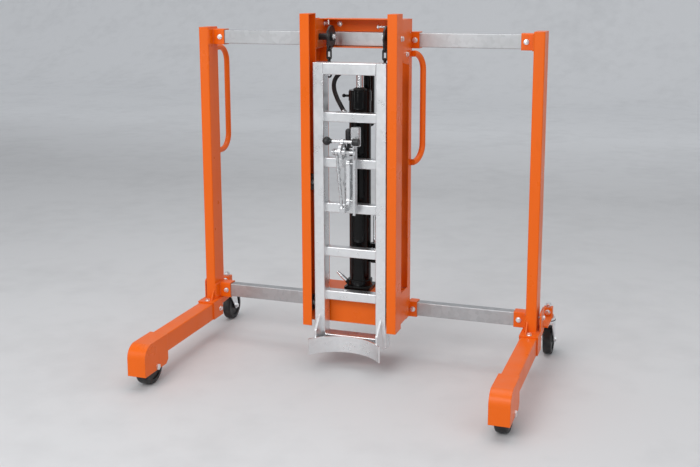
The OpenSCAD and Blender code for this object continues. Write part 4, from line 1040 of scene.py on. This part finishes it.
@dataclass
class Welds:
    """Weld beads in the corners where tubes and plates meet."""

    size: float = 0.0024
    step: float = 0.0013
    ripple: float = 0.14
    pitch: float = 0.0032
    leg_top: float = 0.179
    sockets: tuple[float, ...] = (1.290, 0.184)
    socket_h: float = 0.060
    flange: float = 0.6785
    mast: float = 0.1915
    base_top: float = 0.305
    handle_x: float = -0.700
    handle_ends: tuple[float, ...] = (1.268, 0.820)
    stile: float = 0.1068
    rails: tuple[float, ...] = (1.192, 0.140)
    rungs: int = 5
    rung_top: float = 1.043
    rung_pitch: float = 0.1815
    rung_h: float = 0.038
    rung_edge: float = 0.004

    def bead(self, path: np.ndarray, side: Point, loop: bool = False, size: float = 1.0) -> np.ndarray:
        """Bead along a path: a tube whose radius swells and shrinks by a sine, as laid in drops.

        Args:
            path: Corner line, with its first point repeated at the end of a loop.
            side: Direction that is never along the path.
            loop: True for a closed corner line.
            size: Share of the usual bead.

        Returns:
            Grid of points.
        """
        line = even(path, self.step)
        if loop:
            line = line[:-1]
        swell = np.sin(2 * math.pi * self.step * np.arange(len(line)) / self.pitch)
        return tube(line, size * self.size * (1.0 + self.ripple * swell), 8, side, loop)

    def straight(self, piece: Piece, start: Point, end: Point, side: Point) -> None:
        """Adds a bead between two points.

        Args:
            piece: Piece that takes the bead.
            start: First point.
            end: Last point.
            side: Direction that is not along the bead.
        """
        piece.add(self.bead(np.array((start, end)), side))

    def rounded(self, w: float, h: float, r: float) -> np.ndarray:
        """Closed outline of a rounded rectangle about the origin, as pairs."""
        turn = np.linspace(0.0, math.pi / 2, 7)
        corner = np.stack([w / 2 - r + r * np.cos(turn), h / 2 - r + r * np.sin(turn)], axis=-1)
        flip = corner[::-1]
        loop = np.concatenate([corner, flip * (-1, 1), corner * (-1, -1), flip * (1, -1)])
        return np.concatenate([loop, loop[:1]])

    def build(self, finishes: Finishes) -> None:
        """Makes the frame's painted beads and the carriage's plated ones.

        Args:
            finishes: The part's finishes.
        """
        frame = Piece("frame_welds", "frame", Slot.ORANGE)
        carriage = Piece("carriage_welds", "carriage", Slot.ZINC)
        for s in (-1.0, 1.0):
            self.post(frame, s)
            self.ladder(carriage, s)
        self.handle(frame)
        frame.make(finishes)
        carriage.make(finishes)

    def handle(self, piece: Piece) -> None:
        """Adds the rings round both ends of the post's handle and round their seats.

        Args:
            piece: Piece that takes the beads.
        """
        turn = np.linspace(0.0, 2 * math.pi, 61)
        for z in self.handle_ends:
            for r, y in ((0.0125, 0.24650), (0.0180, 0.24150)):
                ring = [self.handle_x + r * np.cos(turn), np.full_like(turn, y), z + r * np.sin(turn)]
                piece.add(self.bead(np.stack(ring, axis=-1), REAR, True, 0.8), True)

    def post(self, piece: Piece, s: float) -> None:
        """Adds the beads of one post, its sockets, its castor block and the mast's base on that side.

        Args:
            piece: Piece that takes the beads.
            s: Side, -1 or 1.
        """
        for x, y, w, h in ((0.700, 0.19525, 0.043, 0.092), (0.735, 0.38725, 0.036, 0.036)):
            flat = self.rounded(w, h, 0.005)
            loop = [s * x + flat[:, 0], y + flat[:, 1], np.full(len(flat), self.leg_top)]
            piece.add(self.bead(np.stack(loop, axis=-1), UP, True), True)
        x = s * self.flange
        for z in self.sockets:
            top = z + self.socket_h
            for side, y in ((s * 0.6735, 0.18995), (s * 0.6735, 0.23855), (x, 0.15125), (x, 0.23925)):
                self.straight(piece, (side, y, z - 0.003), (side, y, top - 0.001), REAR)
            self.straight(piece, (x, 0.153, top), (x, 0.238, top), UP)
        x = s * self.mast
        self.straight(piece, (x, 0.058, self.base_top), (x, 0.190, self.base_top), UP)

    def ladder(self, piece: Piece, s: float) -> None:
        """Adds the beads of one stile: round each rung, in the rails' corners and behind the saddle.

        Args:
            piece: Piece that takes the beads.
            s: Side, -1 or 1.
        """
        x, r, rear, front = s * self.stile, self.rung_edge, 0.0455, 0.01025
        turn = np.linspace(0.0, math.pi / 2, 6)
        bow, rise = front - r * np.sin(turn), r * np.cos(turn)
        y = np.concatenate([[rear], bow, bow[::-1], [rear]])
        z = np.concatenate([[0.0], rise - r, r - self.rung_h - rise[::-1], [-self.rung_h]])
        for k in range(self.rungs):
            high = self.rung_top - k * self.rung_pitch
            piece.add(self.bead(np.stack([np.full_like(y, x), y, high + z], axis=-1), RIGHT))
        for high in self.rails:
            self.straight(piece, (x, -0.0095, high), (x, 0.042, high), UP)
        for side, depth in ((s * 0.1245, -0.0615), (s * 0.1335, -0.0700)):
            self.straight(piece, (side, depth, 0.101), (side, depth, 0.137), REAR)


@dataclass(frozen=True)
class Lamp:
    """Soft rectangular lamp that looks at the object's middle and is not seen itself."""

    name: str
    place: Point
    wide: float
    high: float
    power: float
    target: Point = (0.0, 0.0, 0.7)

    def build(self) -> None:
        """Makes the lamp."""
        lamp = bpy.data.lights.new(self.name, "AREA")
        lamp.shape = "RECTANGLE"
        lamp.size = self.wide
        lamp.size_y = self.high
        lamp.energy = self.power
        obj = bpy.data.objects.new(self.name, lamp)
        obj.location = self.place
        obj.visible_camera = False
        aim = Vector(self.target) - Vector(self.place)
        obj.rotation_euler = aim.to_track_quat("-Z", "Y").to_euler()
        bpy.context.scene.collection.objects.link(obj)


@dataclass
class Studio:
    """Pale floor that sweeps up into a backdrop, soft lights, and the photo's camera."""

    eye: Point = (1.2954, -3.7615, 1.5568)
    yaw: float = 18.771
    pitch: float = 10.728
    roll: float = -0.128
    lens: float = 53.052
    shift: tuple[float, float] = (-0.00651, -0.085)
    reach: float = 120.0
    far: float = 9.0
    radius: float = 3.0
    wall: float = 9.0
    floor_colour: Colour = (0.66, 0.66, 0.665)
    wall_colour: Colour = (0.96, 0.965, 0.975)
    fade: tuple[float, float] = (3.6, 6.5)
    world_colour: Colour = (0.93, 0.96, 1.0)
    world_strength: float = 0.51
    lamps: tuple[Lamp, ...] = (
        Lamp("key", (-1.0, -4.4, 3.6), 3.0, 2.0, 102.0),
        Lamp("fill", (3.4, -2.8, 2.4), 2.4, 2.4, 8.0),
        Lamp("top", (0.0, 0.4, 4.4), 3.5, 3.5, 66.0),
        Lamp("strip_front", (-0.42, -4.2, 1.3), 0.20, 1.4, 9.0),
        Lamp("strip_left", (-2.4, -2.9, 1.5), 0.10, 2.4, 7.0),
        Lamp("strip_right", (3.4, -1.6, 1.5), 0.10, 2.4, 9.0))

    def build(self) -> None:
        """Makes floor, lights and camera."""
        self.sweep()
        self.light()
        self.camera()

    def sweep(self) -> None:
        """Floor and backdrop as one sheet: a line, a quarter circle and a line, drawn out along X."""
        turn = np.linspace(0.0, math.pi / 2, 25)
        y = np.concatenate([[-self.reach], self.far + self.radius * np.sin(turn), [self.far + self.radius]])
        z = np.concatenate([[0.0], self.radius * (1.0 - np.cos(turn)), [self.wall]])
        sides = (-self.reach, self.reach)
        grid = np.concatenate([np.stack([np.full_like(y, x), y, z], axis=-1) for x in sides])
        k = np.arange(y.size - 1)
        faces = np.stack([k, k + y.size, k + y.size + 1, k + 1], axis=-1)
        mesh = bpy.data.meshes.new("floor")
        mesh.from_pydata(grid.tolist(), [], faces.tolist())
        mesh.shade_smooth()
        mesh.materials.append(self.floor_material())
        floor = bpy.data.objects.new("floor", mesh)
        bpy.context.scene.collection.objects.link(floor)

    def floor_material(self) -> bpy.types.Material:
        """Builds the floor's material: a pale, faintly clouded tone that brightens towards the backdrop."""
        g = Graph("pale floor")
        broad = g.span(g.noise(1.3, 5.0), -0.05, 0.03, 0.3, 0.7)
        cloud = g.math("ADD", broad, g.span(g.noise(7.0, 7.0), 0.965, 1.03, 0.3, 0.7))
        pale = g.mix(g.span(g.across("Y"), 0.0, 1.0, *self.fade), self.floor_colour, self.wall_colour)
        rough = g.span(g.noise(3.0, 6.0), 0.50, 0.68, 0.3, 0.7)
        return g.dress(Base_Color=g.shade(pale, cloud), Roughness=rough, Specular_IOR_Level=0.3)

    def light(self) -> None:
        """Even world light with a broad key, a fill, a top lamp and three narrow strips."""
        world = bpy.data.worlds.new("studio")
        bpy.context.scene.world = world
        world.use_nodes = True
        back = world.node_tree.nodes["Background"]
        back.inputs["Color"].default_value = (*self.world_colour, 1.0)
        back.inputs["Strength"].default_value = self.world_strength
        for lamp in self.lamps:
            lamp.build()

    def camera(self) -> None:
        """Camera at the photo's place, turn, lens and shift."""
        data = bpy.data.cameras.new("camera")
        data.sensor_width = 36.0
        data.lens = self.lens
        data.shift_x, data.shift_y = self.shift
        obj = bpy.data.objects.new("camera", data)
        turn = (Matrix.Rotation(math.radians(self.yaw), 4, "Z")
                @ Matrix.Rotation(math.radians(90.0 - self.pitch), 4, "X")
                @ Matrix.Rotation(math.radians(self.roll), 4, "Z"))
        obj.matrix_world = Matrix.Translation(self.eye) @ turn
        bpy.context.scene.collection.objects.link(obj)
        bpy.context.scene.camera = obj


def main() -> None:
    """Builds the scene in order."""
    logging.basicConfig(level=logging.INFO, format="%(message)s")
    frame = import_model()
    bpy.context.scene.view_settings.view_transform = "Standard"
    Studio().build()
    finishes = Finishes()
    finishes.build()
    finishes.dress_nodes(frame)
    for assembly in (Fasteners(), MastHandle(), OilHose(), RamTrim(), SaddleRibs(), Welds()):
        assembly.build(finishes)


if __name__ == "__main__":
    main()
